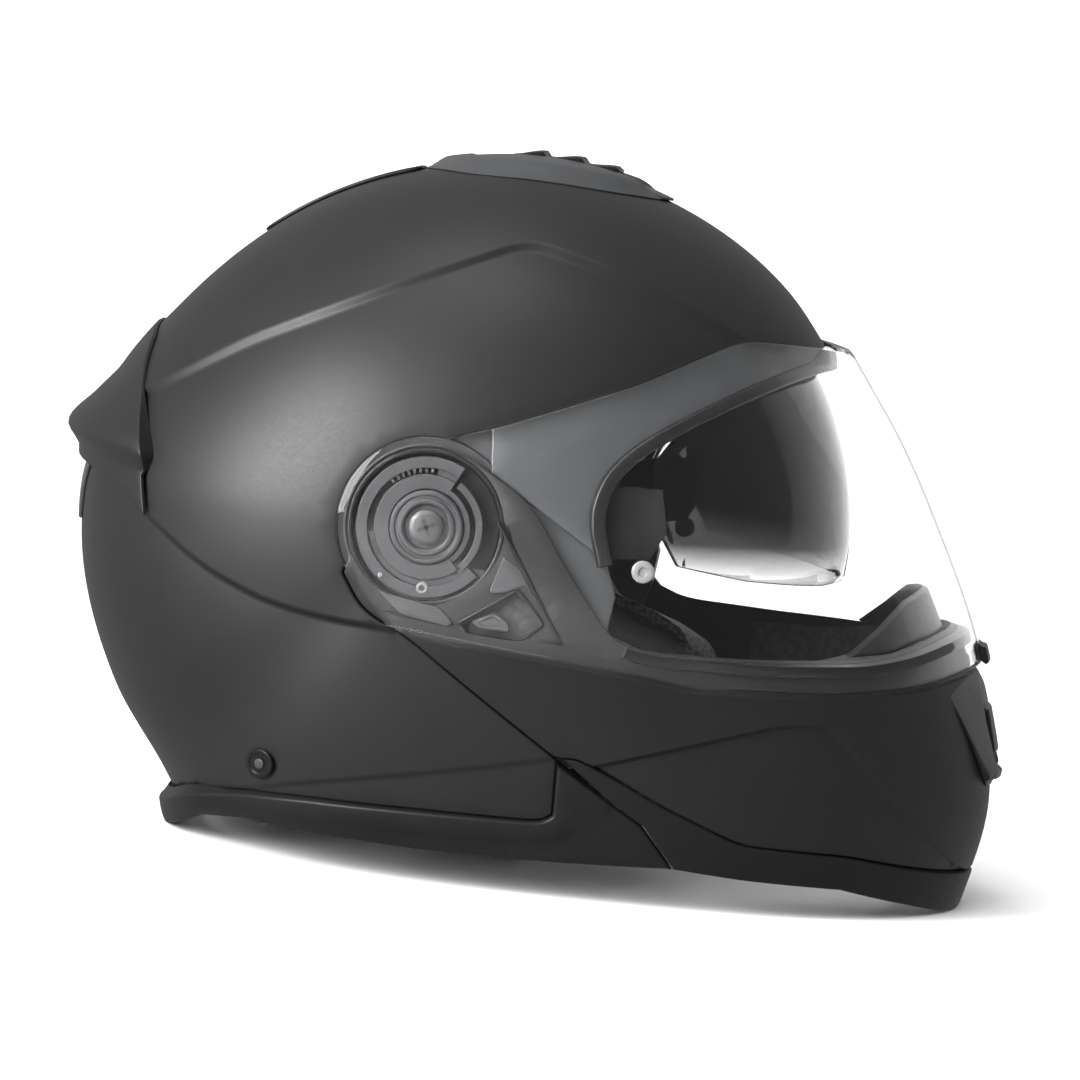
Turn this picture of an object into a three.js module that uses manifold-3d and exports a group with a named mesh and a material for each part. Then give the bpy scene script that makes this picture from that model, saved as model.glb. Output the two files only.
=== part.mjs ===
// Modular (flip-up) motorcycle helmet, in millimetres: +X to the front, +Z up, Y = 0 is the plane of symmetry.
// It stands on its rear neck edge and on the bottom of its chin bar, both at Z = 0.
import * as THREE from "three";
import { ParametricGeometry } from "three/addons/geometries/ParametricGeometry.js";
import { mergeVertices } from "three/addons/utils/BufferGeometryUtils.js";
import Module from "manifold-3d";

const wasm = await Module();
wasm.setup();

// ---------------------------------------------------------------- driving dimensions
const hinge = { x: -30, z: 128.5 }; // side pivots of the chin bar and the visor
const halfWidth = 129; // from the middle to the shell's side, at the pivots
const shellWall = 3.5; // outer shell
const seatDepth = 2.5; // step down to the visor's seat around the eye opening
const armFloorDepth = 4.6; // step down to the floor under the chin bar's arms
const armFloorWall = 3;
const seatWall = 2;
const chinWall = 3.2; // chin bar
const foamThickness = 28; // impact liner
const linerGap = 0.5; // between the shell and the impact liner
const crownPadThickness = 9;
const cheekPadThickness = 21;
const neckRollThickness = 24;
const trimWall = 5; // rubber edge trims
const chinTrimWall = 3.8; // thinner, to pass over the shell's flange
const trimProud = 0.6;
const chinFoamThickness = 20;
const visorGap = 0.9; // visor's inner face over the shell
const visorThickness = 2;
const sunLensThickness = 2;
const strapWidth = 22;
const strapThickness = 2.4;
const joinGap = 0.35; // between pieces that touch
const seamGap = 0.6; // open seam between the shell and the chin bar
const runningGap = 0.8; // between faces that pass each other

// Side pivot, measured outwards from the axis (radius) and from the middle (half width)
const pocketRadius = 28.6;
const pocketFloor = halfWidth - 10.4;
const bossWall = 3.6;
const cupRadius = 27.8;
const cupWall = 2;
const cupFloor = 2;
const postRadius = 9;
const hubRadius = 13;
const screwRadius = 6;
const plateThickness = 1.5;
const ringThickness = 2.6;
const layerGap = 0.3;

// Sun visor: its own pivots and a lens that is round about them
const sunPivot = { x: -10, z: 125.4 };
const sunLensRadius = 125.2;
const sunLensHalfWidth = halfWidth - 17;
const sunLensPower = 2.6;
const sunArmWidth = 14;
const sunPinRadius = 3;

// ---------------------------------------------------------------- outer form
// Side profile as [angle about the hinge in degrees, radius]. Below the rim it closes in a form that is cut away.
const baseProfile = [
  [-171, 145.3], [-147, 147.2], [-129, 153], [-110, 187], [-84, 233], [-60, 253], [-44, 252.5], [-31.6, 236],
  [-23, 225], [-14.5, 206], [-3.6, 182.5], [10.7, 161.2], [25, 149.6], [40, 145.3], [60, 138], [83, 131],
  [102, 126.6], [130, 126], [149, 129.6], [165, 137.8], [178, 144.3],
];
// The visor stands proud of the shell in front and meets it above the brow.
const visorProfile = [
  [-34, 241], [-22, 224], [-10.2, 198.9], [3.1, 175.4], [19.1, 158.4], [28, 153.1], [42, 147], [60, 139.5], [90, 129.5],
];
// The rear spoiler's lip
const spoilerProfile = [
  [140, 127], [150, 129.8], [156.5, 132.8], [163, 138], [168.5, 144.6], [173.4, 151.9], [176, 147], [179, 142], [186, 139],
];

// Smooth curve through [angle, value] points.
function profileCurve(points, periodic) {
  const turns = periodic ? [-360, 0, 360] : [0];
  const all = turns.flatMap((turn) => points.map(([angle, value]) => [angle + turn, value]));
  const slope = (i) => {
    const before = all[Math.max(i - 1, 0)];
    const after = all[Math.min(i + 1, all.length - 1)];
    return (after[1] - before[1]) / (after[0] - before[0]);
  };
  return (angle) => {
    if (!periodic && (angle <= all[0][0] || angle >= all.at(-1)[0])) return null;
    const i = all.findIndex(([next]) => next > angle) - 1;
    const span = all[i + 1][0] - all[i][0];
    const t = (angle - all[i][0]) / span;
    return (
      (2 * t ** 3 - 3 * t ** 2 + 1) * all[i][1] +
      (t ** 3 - 2 * t ** 2 + t) * span * slope(i) +
      (-2 * t ** 3 + 3 * t ** 2) * all[i + 1][1] +
      (t ** 3 - t ** 2) * span * slope(i + 1)
    );
  };
}

const degrees = THREE.MathUtils.radToDeg;
const radians = THREE.MathUtils.degToRad;
const wrap = (angle) => THREE.MathUtils.euclideanModulo(angle + 180, 360) - 180;
const baseRadius = profileCurve(baseProfile, true);
const visorCurve = profileCurve(visorProfile, false);
const spoilerCurve = profileCurve(spoilerProfile, false);
const visorRadius = (angle) => Math.max(baseRadius(angle), visorCurve(angle) ?? 0);
const spoilerRadius = (angle) => Math.max(baseRadius(angle), spoilerCurve(angle < 0 ? angle + 360 : angle) ?? 0);

const flareReach = 8; // how far the rear neck edge turns out
const flareAngle = -127.6;
const flareSpan = 5;
const trimRadius = (angle) => baseRadius(angle) + flareReach * Math.exp(-(((angle - flareAngle) / flareSpan) ** 2));

// A form: a side profile about a centre, and how full the sides are.
const helmetPower = (angle) => 2.2 + 0.15 * Math.cos(radians(angle));
const baseForm = { centre: hinge, radius: baseRadius, halfWidth, power: helmetPower };
const visorForm = { ...baseForm, radius: visorRadius };
const spoilerForm = { ...baseForm, radius: spoilerRadius };
const trimForm = { ...baseForm, radius: trimRadius };
const sunForm = {
  centre: sunPivot,
  radius: () => sunLensRadius,
  halfWidth: sunLensHalfWidth,
  power: () => sunLensPower,
};

// Half width of a form over the point (x, z), at an offset from its surface.
function halfAt(form, offset, x, z) {
  const angle = degrees(Math.atan2(z - form.centre.z, x - form.centre.x));
  const share = Math.hypot(x - form.centre.x, z - form.centre.z) / (form.radius(angle) + offset);
  return (form.halfWidth + offset) * Math.sqrt(Math.max(0, 1 - share ** form.power(angle)));
}

// ---------------------------------------------------------------- solids
const fine = { around: 36, across: 16 };
const coarse = { around: 24, across: 10 };
const plain = { around: 20, across: 8 };
const lipGrid = { around: 120, across: 16 };

// Closed mesh to solid: only positions, shared vertices merged, no empty triangles, faces out.
function solid(geometry) {
  const bare = geometry.clone();
  bare.deleteAttribute("normal");
  bare.deleteAttribute("uv");
  const merged = mergeVertices(bare, 1e-4);
  const triangles = [];
  for (let i = 0; i < merged.index.count; i += 3) {
    const [a, b, c] = [0, 1, 2].map((corner) => merged.index.getX(i + corner));
    if (a !== b && b !== c && c !== a) triangles.push(a, b, c);
  }
  const build = (corners) =>
    new wasm.Manifold(
      new wasm.Mesh({
        numProp: 3,
        vertProperties: new Float32Array(merged.attributes.position.array),
        triVerts: new Uint32Array(corners),
      }),
    );
  const made = build(triangles);
  return made.volume() < 0 ? build(triangles.reverse()) : made;
}

// Solid to three.js geometry.
function geometryOf(made) {
  const mesh = made.getMesh();
  const flat = new THREE.BufferGeometry();
  flat.setAttribute("position", new THREE.BufferAttribute(Float32Array.from(mesh.vertProperties), 3));
  flat.setIndex(new THREE.BufferAttribute(Uint32Array.from(mesh.triVerts), 1));
  flat.computeVertexNormals();
  return flat;
}

const join = (...parts) => parts.reduce((sum, part) => sum.add(part));
const cut = (first, ...rest) => rest.reduce((left, tool) => left.subtract(tool), first);
const common = (...parts) => parts.reduce((left, part) => left.intersect(part));

// The closed form at an offset from its surface.
function body(form, offset, grid = fine) {
  const point = (u, v, target) => {
    const angle = wrap(360 * u);
    const tilt = Math.PI * v;
    const reach = Math.abs(Math.sin(tilt)) ** (2 / form.power(angle)) * (form.radius(angle) + offset);
    target.set(
      form.centre.x + reach * Math.cos(radians(angle)),
      -(form.halfWidth + offset) * Math.cos(tilt),
      form.centre.z + reach * Math.sin(radians(angle)),
    );
  };
  return solid(new ParametricGeometry(point, grid.around, grid.across));
}

const wall = (form, outer, inner, grid = fine, innerGrid = grid) =>
  cut(body(form, outer, grid), body(form, inner, innerGrid));

// A side outline [x, z] as a prism across the helmet, between two values of y.
const across = halfWidth + 31;
function sideCut(points, from = -across, to = across) {
  const shape = new THREE.Shape(points.map(([x, z]) => new THREE.Vector2(x, z)));
  const prism = new THREE.ExtrudeGeometry(shape, { depth: to - from, bevelEnabled: false });
  prism.rotateX(Math.PI / 2);
  prism.translate(0, to, 0);
  return solid(prism);
}

// A plan outline [x, y] as a prism between two heights, and a front outline [y, z] between two values of x.
function planCut(points, from, to) {
  const shape = new THREE.Shape(points.map(([x, y]) => new THREE.Vector2(x, y)));
  return solid(new THREE.ExtrudeGeometry(shape, { depth: to - from, bevelEnabled: false }).translate(0, 0, from));
}
function frontCut(points, from, to) {
  const shape = new THREE.Shape(points.map(([y, z]) => new THREE.Vector2(y, z)));
  const prism = new THREE.ExtrudeGeometry(shape, { depth: to - from, bevelEnabled: false });
  const turn = new THREE.Matrix4().makeBasis(
    new THREE.Vector3(0, 1, 0),
    new THREE.Vector3(0, 0, 1),
    new THREE.Vector3(1, 0, 0),
  );
  return solid(prism.applyMatrix4(turn).translate(from, 0, 0));
}

const box = (low, high) =>
  planCut([[low[0], low[1]], [high[0], low[1]], [high[0], high[1]], [low[0], high[1]]], low[2], high[2]);

// A turned piece on an axis along Y, on the right side: profile points are [radius, half width].
function turned(centre, profile, segments = 24) {
  const points = profile.map(([radius, reach]) => new THREE.Vector2(radius, -reach));
  return solid(new THREE.LatheGeometry(points, segments).translate(centre.x, 0, centre.z));
}
const disc = (centre, radius, near, far, segments = 24) =>
  turned(centre, [[0, near], [radius, near], [radius, far], [0, far]], segments);
const annulus = (centre, inner, outer, near, far, segments = 24) =>
  turned(centre, [[inner, near], [outer, near], [outer, far], [inner, far], [inner, near]], segments);

function mirrored(made) {
  return solid(geometryOf(made).toNonIndexed().scale(1, -1, 1));
}

const rightHalf = box([-400, -400, -400], [400, 0, 400]);
const polar = (centre, radius, angle) => [
  centre.x + radius * Math.cos(radians(angle)),
  centre.z + radius * Math.sin(radians(angle)),
];
function arc(centre, radius, from, to, steps) {
  return Array.from({ length: steps + 1 }, (_, i) => polar(centre, radius, from + ((to - from) * i) / steps));
}
const smooth = (points, steps) =>
  new THREE.SplineCurve(points.map(([x, z]) => new THREE.Vector2(x, z))).getPoints(steps).map((p) => [p.x, p.y]);

// Moves every point of a polyline sideways: positive is to the left of its direction.
function shifted(points, distance) {
  return points.map(([x, z], i) => {
    const [ax, az] = points[Math.max(i - 1, 0)];
    const [bx, bz] = points[Math.min(i + 1, points.length - 1)];
    const length = Math.hypot(bx - ax, bz - az);
    return [x - ((bz - az) / length) * distance, z + ((bx - ax) / length) * distance];
  });
}

// ---------------------------------------------------------------- side outlines, [x, z]
const recessRadius = 32; // the seat's round end behind the pivot
// Seam between the shell and the chin bar, from behind the pivot to the bottom edge
const seam = [[-58, 109], [-51, 98], [-41, 92.5], [-33, 89], [-9, 73], [22, 52.5], [44, 37.5], [56, 30], [68, 15.2]];
// Upper edge of the visor's seat, from the front to its round end
const seatEdge = [
  [150, 200], [106, 200.5], [90, 202.5], [70, 203], [54, 194.5], [38, 185.5], [11, 174], [-9, 166],
  ...arc(hinge, recessRadius, 84, 210, 9),
];
// Upper edge of the eye opening and its round rear corner, from the front
const eyeUpper = smooth(
  [[150, 196], [103, 195], [92, 191], [73, 181], [60, 173], [45, 163], [35, 153], [31.5, 142], [32, 134], [36, 122]],
  18,
);
// Front edge of the shell's flange behind the chin bar
const flangeFront = [[40, 110], [38, 96], [34, 84], [38, 72], [50, 62], [58, 54], [57, 45.5], [48, 48.5], [31, 55], [24, 54.5]];
// Edge of the chin bar's arm, from the round end over the pivot to the eye opening's lower edge
const armTop = [...arc(hinge, cupRadius + 1.2, 205, 60, 12), [3, 143], [11, 134], [18.5, 122.5], [33.5, 102.5], [40, 96]];
const chinTop = [[48, 93], [56, 92], [88, 92], [126, 93.5], [141, 96.5], [156, 103], [190, 112]];
// Top of the edge trims
const shellTrimTop = [[-150, 6], [-127.5, 11], [-118, 17], [-89, 23.5], [-67, 25.5], [-30, 27], [20, 28.2], [24, 31]];
const chinTrimTop = [[26, 52], [31, 52.5], [47, 45.5], [61, 38.5], [91, 26], [129, 23.5], [200, 9]];
// Bottom edges
const shellBottom = [[-150, 0], [-126, 0], [-108, 9.5], [-91, 12.6], [-14, 12.6], [28, 13.5]];
const chinBottom = [[92, 13.3], [127, 11.3], [150, 5.5], [167, 0], [200, 0]];
// Lower edge of the visor
const visorBottom = [[-40, 93], [-11, 90.3], [17, 88], [53, 85], [68, 82.3], [120, 83.3], [147, 86.6], [166, 92], [190, 97]];

const above = 320;
const behind = -260;
const below = -60;
const reversed = (points) => [...points].reverse();
const seamGapSide = shifted(seam, seamGap / 2);
const seamShellSide = shifted(seam, -seamGap / 2);

const skinOutline = [
  ...seatEdge,
  ...seamShellSide.slice(0, 6),
  [24, 50],
  ...reversed(shellTrimTop),
  [behind, 6],
  [behind, above],
  [150, above],
];
const seatOutline = [
  ...shifted(seatEdge.slice(0, 8), -5),
  [-9, 150],
  ...reversed(eyeUpper),
];
const armOutline = [
  [-16, 170],
  ...arc(hinge, recessRadius + 4, 84, 215, 9),
  ...shifted(seam, -5).slice(1, 6),
  ...reversed(flangeFront),
  [36, 122],
  [32, 134],
  [32, 145],
  [16, 160],
];
const chinOutline = [
  ...armTop,
  ...chinTop,
  [240, 60],
  ...reversed(chinTrimTop),
  ...reversed(seamGapSide.slice(0, 6)),
];
const chinZone = [...shifted(armTop, 1), ...shifted(chinTop, 1), [260, 60], [260, below], [72, below], ...reversed(seam)];
const visorOutline = [
  ...shifted(seatEdge.slice(0, 8), seamGap),
  ...arc(hinge, recessRadius - seamGap, 84, 215, 9),
  ...visorBottom,
];
const shellTrimOutline = [
  ...shifted(shellTrimTop, -joinGap),
  [24.4, 49.5],
  ...seamShellSide.slice(6),
  ...reversed(shellBottom),
];
const chinTrimOutline = [
  ...reversed(shifted(chinTrimTop, -joinGap)),
  ...seamGapSide.slice(6),
  ...chinBottom,
];

// ---------------------------------------------------------------- materials
const material = (color, roughness, metalness = 0, opacity = 1) =>
  new THREE.MeshStandardMaterial({ color, roughness, metalness, opacity, transparent: opacity < 1 });
const matteBlack = material(0x15171a, 0.5);
const trimBlack = material(0x101113, 0.65);
const greyPlastic = material(0x2c2e31, 0.45);
const rubber = material(0x0c0c0d, 0.8);
const clear = material(0xe8eef0, 0.05, 0, 0.3);
const smoke = material(0x3a3f42, 0.08, 0, 0.5);
const foam = material(0x1b1b1d, 0.95);
const fabric = material(0x232427, 0.9);
const webbing = material(0x131416, 0.85);
const steel = material(0xb9bcc0, 0.3, 1);

const helmet = new THREE.Group();
function piece(name, made, look) {
  const mesh = new THREE.Mesh(geometryOf(made), look);
  mesh.name = name;
  helmet.add(mesh);
}
// The same piece on both sides, modelled on the right.
function pair(name, made, look) {
  piece(`${name}_right`, made, look);
  piece(`${name}_left`, mirrored(made), look);
}
const bothSides = (made) => join(made, mirrored(made));

// ---------------------------------------------------------------- side pivot layers, as half widths
const armUnder = cupRadius + 1; // the arm's plate turns over the shell outside this radius
const armReach = halfWidth * 0.9752; // the plate's inner face there
const cupTop = armReach + 1;
const cupBottom = pocketFloor + runningGap;
const plateLow = cupBottom + cupFloor + layerGap;
const ringLow = plateLow + plateThickness + layerGap;
const ringTop = ringLow + ringThickness;
// What the turning arm clears: radius and half width of its inner face. The shell stays inside it.
const armSweep = [[armUnder, armReach], [38, armReach], [45, armReach - 1.1], [60, armReach - 5.1]];
const sweepEnd = 64;
const outside = halfWidth + 21;
const armInside = turned(hinge, [[0, armReach], ...armSweep, [sweepEnd - 2, 0], [0, 0]], 24);
// The shell is dished for that sweep, above and in front of the seam only.
const armDish = common(
  turned(hinge, [
    [0, armReach - runningGap],
    ...armSweep.map(([radius, reach]) => [radius, reach - runningGap]),
    [sweepEnd, outside],
    [0, outside],
  ], 24),
  sideCut([...seam, [300, 0], [300, 300], [-64, 300], [-64, 118]]),
);

// ---------------------------------------------------------------- outer shell
const underDepth = armFloorDepth + armFloorWall;
function outerShell() {
  const skin = common(wall(baseForm, 0, -shellWall, fine, coarse), sideCut(skinOutline));
  const seat = common(wall(baseForm, -seatDepth, -seatDepth - seatWall, coarse), sideCut(seatOutline));
  const armFloor = common(wall(baseForm, -shellWall + 0.5, -underDepth, coarse), sideCut(armOutline));
  const arms = common(wall(baseForm, 1, -armFloorDepth), sideCut(chinZone));
  const trimSpace = sideCut([...shellTrimTop, [24, 50], ...seam.slice(6), [68, below], [behind, below], [behind, 6]]);
  const boss = disc(hinge, pocketRadius + bossWall, pocketFloor - bossWall, armReach - runningGap);
  const pocket = disc(hinge, pocketRadius, pocketFloor, outside);
  const sides = bothSides(common(boss, body(baseForm, -seatDepth)));
  const topDuct = bothSides(box([-22, -24, 230], [-6, -8, 270]));
  return cut(join(skin, cut(join(seat, armFloor), trimSpace), sides), arms, bothSides(armDish), bothSides(pocket), topDuct);
}
piece("outer_shell", outerShell(), matteBlack);

// ---------------------------------------------------------------- edge trim, liner and pads
piece("lower_trim", common(wall(trimForm, trimProud, -trimWall), sideCut(shellTrimOutline)), trimBlack);

const foamOuter = shellWall + linerGap;
const foamInner = foamOuter + foamThickness;
const underFoam = underDepth + linerGap;
const foamBottom = 37;
const foamOutline = [
  [behind, foamBottom], [-2, foamBottom], [0, 62], [14, 84], [24, 104], [27, 130], [28, 150], [42, 168],
  [60, 181], [84, 192], [98, 200], [150, 230], [150, above], [behind, above],
];
// Lens and arm swing between the shell and the liner.
const sunPocketGap = 1.2;
const sunPocket = [polar(sunPivot, 20, 60), ...arc(sunPivot, 200, -14, 86, 7)];
const sunArmHigh = halfWidth - 23.7;
const sunArmLow = sunArmHigh - 1.5;
function impactLiner() {
  const whole = common(wall(baseForm, -foamOuter, -foamInner, coarse, plain), sideCut(foamOutline));
  const underSide = common(
    wall(baseForm, 2, -underFoam, coarse),
    sideCut([...shifted(seatEdge.slice(0, 8), -9), ...arc(hinge, recessRadius + 11, 84, 235, 9), [-12, 40], [90, 40]]),
  );
  const lensSpace = cut(sideCut(sunPocket), body(sunForm, -sunLensThickness - sunPocketGap, coarse));
  const armSlot = sideCut([...arc(sunPivot, 16, 230, 110, 6), ...arc(sunPivot, 84, 78, -22, 6)], sunArmLow - 1.2, across);
  const bossSpace = disc(hinge, pocketRadius + bossWall + 2, pocketFloor - bossWall - linerGap, outside);
  const anchorSlot = box([-100, 84, 24], [-40, across, 50]);
  return cut(whole, underSide, lensSpace, bothSides(mirrored(armSlot)), bothSides(bossSpace), bothSides(anchorSlot));
}
piece("impact_liner", impactLiner(), foam);

const padOuter = foamInner + linerGap;
const crownOutline = [
  [behind, 96], [-60, 96], [-30, 118], [6, 120], [20, 150], [44, 166], [62, 178], [100, 196], [150, above], [behind, above],
];
piece(
  "crown_pad",
  common(wall(baseForm, -padOuter, -padOuter - crownPadThickness, plain), sideCut(crownOutline)),
  fabric,
);
const cheekOutline = [
  [-25, 24], [-28, 86], [-14, 106], [6, 104], [24, 92], [44, 84], [70, 76], [80, 62], [76, 40], [52, 26],
];
pair(
  "cheek_pad",
  common(wall(baseForm, -padOuter, -padOuter - cheekPadThickness, plain), sideCut(cheekOutline), rightHalf),
  fabric,
);
const anchorDepth = foamOuter + 0.2;
const anchorWall = 1.7;
const neckOuter = Math.max(trimWall + linerGap + 1, anchorDepth + anchorWall + 0.6);
piece(
  "neck_roll",
  common(
    wall(baseForm, -neckOuter, -neckOuter - neckRollThickness, coarse),
    sideCut([[behind, 14], [-44, 16], [-46, foamBottom - linerGap], [behind, foamBottom - linerGap]]),
  ),
  fabric,
);

// ---------------------------------------------------------------- chin bar
const chinArmDepth = 0.4; // the arm's plate under the visor
const visorZone = [...shifted(visorBottom, 1), [240, 110], [240, above], [behind, above], [behind, 150], [-70, 92]];
const leverSlot = [[-16, 87.5], [-16, 104], [10, 106], [16, 88]];
function chinBar() {
  const skin = common(wall(baseForm, 0, -chinWall), sideCut(chinOutline));
  const lowered = common(wall(baseForm, 1, -chinArmDepth), sideCut(visorZone));
  const nearPivot = sideCut([...arc(hinge, 75, 0, 360, 24)]);
  const sides = cut(skin, common(lowered, nearPivot), bothSides(armInside));
  const cup = cut(
    disc(hinge, cupRadius, cupBottom, cupTop),
    disc(hinge, cupRadius - cupWall, cupBottom + cupFloor, outside),
    disc(hinge, postRadius + joinGap, 0, outside),
  );
  const bore = disc(hinge, cupRadius - cupWall, cupBottom + cupFloor, outside);
  const slot = sideCut(leverSlot, -across, 14 - halfWidth);
  return join(cut(sides, bothSides(bore), bothSides(slot)), bothSides(cup));
}
piece("chin_bar", chinBar(), matteBlack);
piece("chin_lower_trim", common(wall(baseForm, trimProud, -chinTrimWall), sideCut(chinTrimOutline)), trimBlack);

const chinFoamOuter = chinWall + linerGap + 0.3;
const chinFoamOutline = [
  [92, 84], [126, 86], [150, 92], [190, 96], [190, 30], [129, 32], [104, 37], [94, 46], [90, 66],
];
piece(
  "chin_liner",
  common(wall(baseForm, -chinFoamOuter, -chinFoamOuter - chinFoamThickness), sideCut(chinFoamOutline)),
  foam,
);
const guardWall = 2.4;
const guardOutline = [[122, 93.5], [130, 104], [142, 121], [150, 124], [164, 118], [164, 100], [152, 99], [140, 95]];
const guardDepth = chinWall + 3.6;
piece(
  "breath_guard",
  common(wall(baseForm, -guardDepth, -guardDepth - guardWall), sideCut(guardOutline)),
  rubber,
);

// ---------------------------------------------------------------- visor
const visorOuter = visorGap + visorThickness;
piece("visor", common(wall(visorForm, visorOuter, visorGap), sideCut(visorOutline)), clear);
const sealWidth = 3;
const sealLow = common(
  cut(body(visorForm, visorGap - 0.5), body(baseForm, joinGap)),
  sideCut([[118, 86], [147, 89], [190, 100], [190, 100 + sealWidth], [146, 89 + sealWidth], [118, 86 + sealWidth]]),
);
piece("visor_lower_seal", sealLow, rubber);
const browSeal = common(
  wall(baseForm, visorGap - 0.5, -seatDepth + joinGap, fine, coarse),
  sideCut([[150, 195.9], [103, 195.3], [92, 191.6], [73, 181.6], [60, 173.6], [52, 168.5], [50, 173], [58, 179],
    [72, 187], [91, 196], [103, 199], [150, 199]]),
);
piece("brow_seal", browSeal, rubber);

const pinPlace = { x: 47, z: 120.5 };
const pinRadius = 4;
const pinReach = halfAt(visorForm, visorGap, pinPlace.x + pinRadius, pinPlace.z) - 2 * joinGap;
pair("insert_pin", disc(pinPlace, pinRadius, pinReach - 3.3, pinReach, 16), greyPlastic);
const tabPlace = frontCut([[-13, 93], [13, 93], [11, 99], [-11, 99]], 150, 190);
piece("visor_tab", common(wall(visorForm, visorOuter + 4, visorOuter + joinGap), tabPlace), greyPlastic);

// ---------------------------------------------------------------- side mechanism
pair("pivot_post", disc(hinge, postRadius, pocketFloor + joinGap, ringLow + 0.4), greyPlastic);
pair("base_plate", annulus(hinge, postRadius + joinGap, cupRadius - cupWall - joinGap, plateLow, plateLow + plateThickness), steel);
const studTop = halfAt(visorForm, visorGap, ...polar(hinge, 22, 120)) - 1;
const ringOuter = cupRadius - cupWall - runningGap;
const ringInner = hubRadius + joinGap;
const studRadius = (ringOuter - ringInner) * 0.21;
const studs = [90, 210, 330].map((angle) => {
  const [x, z] = polar(hinge, (ringOuter + ringInner) / 2, angle);
  return disc({ x, z }, studRadius, ringTop - 1, studTop, 10);
});
pair(
  "visor_ring",
  join(annulus(hinge, ringInner, ringOuter, ringLow, ringTop), ...studs),
  greyPlastic,
);
const hubLow = ringLow + 0.4 + joinGap;
pair(
  "pivot_hub",
  cut(disc(hinge, hubRadius, hubLow, ringTop + 1), disc(hinge, screwRadius + joinGap, ringTop - 0.8, outside)),
  greyPlastic,
);
const slotAcross = (angle) => {
  const [ax, az] = polar({ x: 0, z: 0 }, 4, angle);
  const [bx, bz] = polar({ x: 0, z: 0 }, 0.7, angle + 90);
  return sideCut(
    [[ax + bx, az + bz], [-ax + bx, -az + bz], [-ax - bx, -az - bz], [ax - bx, az - bz]],
    -across,
    -(ringTop + 0.5),
  ).translate(hinge.x, 0, hinge.z);
};
pair(
  "pivot_screw",
  cut(disc(hinge, screwRadius, ringTop - 0.5, ringTop + 1.8), slotAcross(20), slotAcross(110)),
  steel,
);
const leverOutline = [[-12, 97], [1, 103.5], [5.5, 99], [4, 89.5], [-9, 91]];
pair(
  "visor_lever",
  common(wall(baseForm, -0.6, -2.8), sideCut(leverOutline), rightHalf),
  greyPlastic,
);

// ---------------------------------------------------------------- sun visor
const sunOutline = [
  [46, 158], [47, 143], [51, 133], [58, 122], [82, 118], [112, 116], [140, 116], [140, 196], [96, 208], [84, 210], [60, 180],
];
const noseNotch = frontCut([[-17, 100], [-9, 124], [0, 130], [9, 124], [17, 100]], 60, 160);
piece(
  "sun_visor",
  cut(common(wall(sunForm, 0, -sunLensThickness), sideCut(sunOutline)), noseNotch),
  smoke,
);
const sunArm = sideCut(
  [...arc(sunPivot, sunArmWidth / 2, 270, 110, 6), [38, 149], [50, 149], [53, 134], [48, 124]],
  -sunArmHigh,
  -sunArmLow,
);
const sunPin = disc(sunPivot, sunPinRadius, sunArmLow, pocketFloor - bossWall - joinGap, 16);
pair("sun_arm", join(sunArm, sunPin), greyPlastic);

// ---------------------------------------------------------------- vents and spoiler
const ventRise = 3.4;
const ventPlan = smooth(
  [[36, 0], [30, 22], [18, 34], [-2, 41], [-26, 40], [-44, 30], [-55, 12], [-57, 0]],
  14,
);
const ventOutline = [...ventPlan, ...reversed(ventPlan).slice(1, -1).map(([x, y]) => [x, -y])];
const sliderTrack = box([-36, -15, 240], [20, 15, 300]);
piece(
  "top_vent_housing",
  cut(
    common(wall(baseForm, ventRise, joinGap), planCut(ventOutline, 225, 300)),
    common(wall(baseForm, 20, ventRise - 1.8), sliderTrack),
  ),
  greyPlastic,
);
const sliderFloor = ventRise - 1.8 + joinGap;
piece(
  "top_vent_slider",
  common(wall(baseForm, ventRise + 0.6, sliderFloor), box([-25, -13, 240], [16, 13, 300])),
  matteBlack,
);
const spoilerOutline = [
  [-151, 190], [-146, 181], [-145.5, 164], [-143, 152], [-139, 138], [-135, 119], [-153, 130], [-200, 140], [-200, 190],
];
piece("rear_spoiler", common(cut(body(spoilerForm, 0, lipGrid), body(baseForm, joinGap, lipGrid)), sideCut(spoilerOutline)), matteBlack);
const grilleRibs = [-22, -11, 0, 11, 22].map((y) => box([-200, y - 2, 112], [-150, y + 2, 132]));
const grilleFrame = common(wall(baseForm, 2, joinGap, fine), frontCut([[-34, 131], [34, 131], [28, 110], [-28, 110]], -200, -150));
const grilleWindow = frontCut([[-30, 128], [30, 128], [25, 113], [-25, 113]], -200, -150);
piece(
  "rear_vent_grille",
  join(cut(grilleFrame, grilleWindow), common(wall(baseForm, 1.4, joinGap), join(...grilleRibs))),
  greyPlastic,
);

const chinVentRise = 6;
const ventGrid = { around: 72, across: 16 };
const chinVentSide = [[150, 80], [167, 88], [171, 84], [173.5, 80], [176, 70], [190, 56], [190, 50], [150, 49]];
const chinVentFront = [[-48, 84], [-30, 90], [30, 90], [48, 84], [30, 58], [19, 47], [-19, 47], [-30, 58]];
const flapOpening = [[-16.6, 78], [16.6, 78], [18.6, 53], [-18.6, 53]];
piece(
  "chin_vent_housing",
  cut(
    common(wall(baseForm, chinVentRise, joinGap, ventGrid), sideCut(chinVentSide), frontCut(chinVentFront, 140, 200)),
    common(wall(baseForm, 30, 1.6), frontCut(flapOpening, 150, 200)),
  ),
  greyPlastic,
);
piece(
  "chin_vent_flap",
  common(wall(baseForm, 4.6, 2.4, ventGrid), frontCut([[-16, 77.4], [16, 77.4], [17.4, 60], [-17.4, 60]], 150, 200)),
  matteBlack,
);

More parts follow.
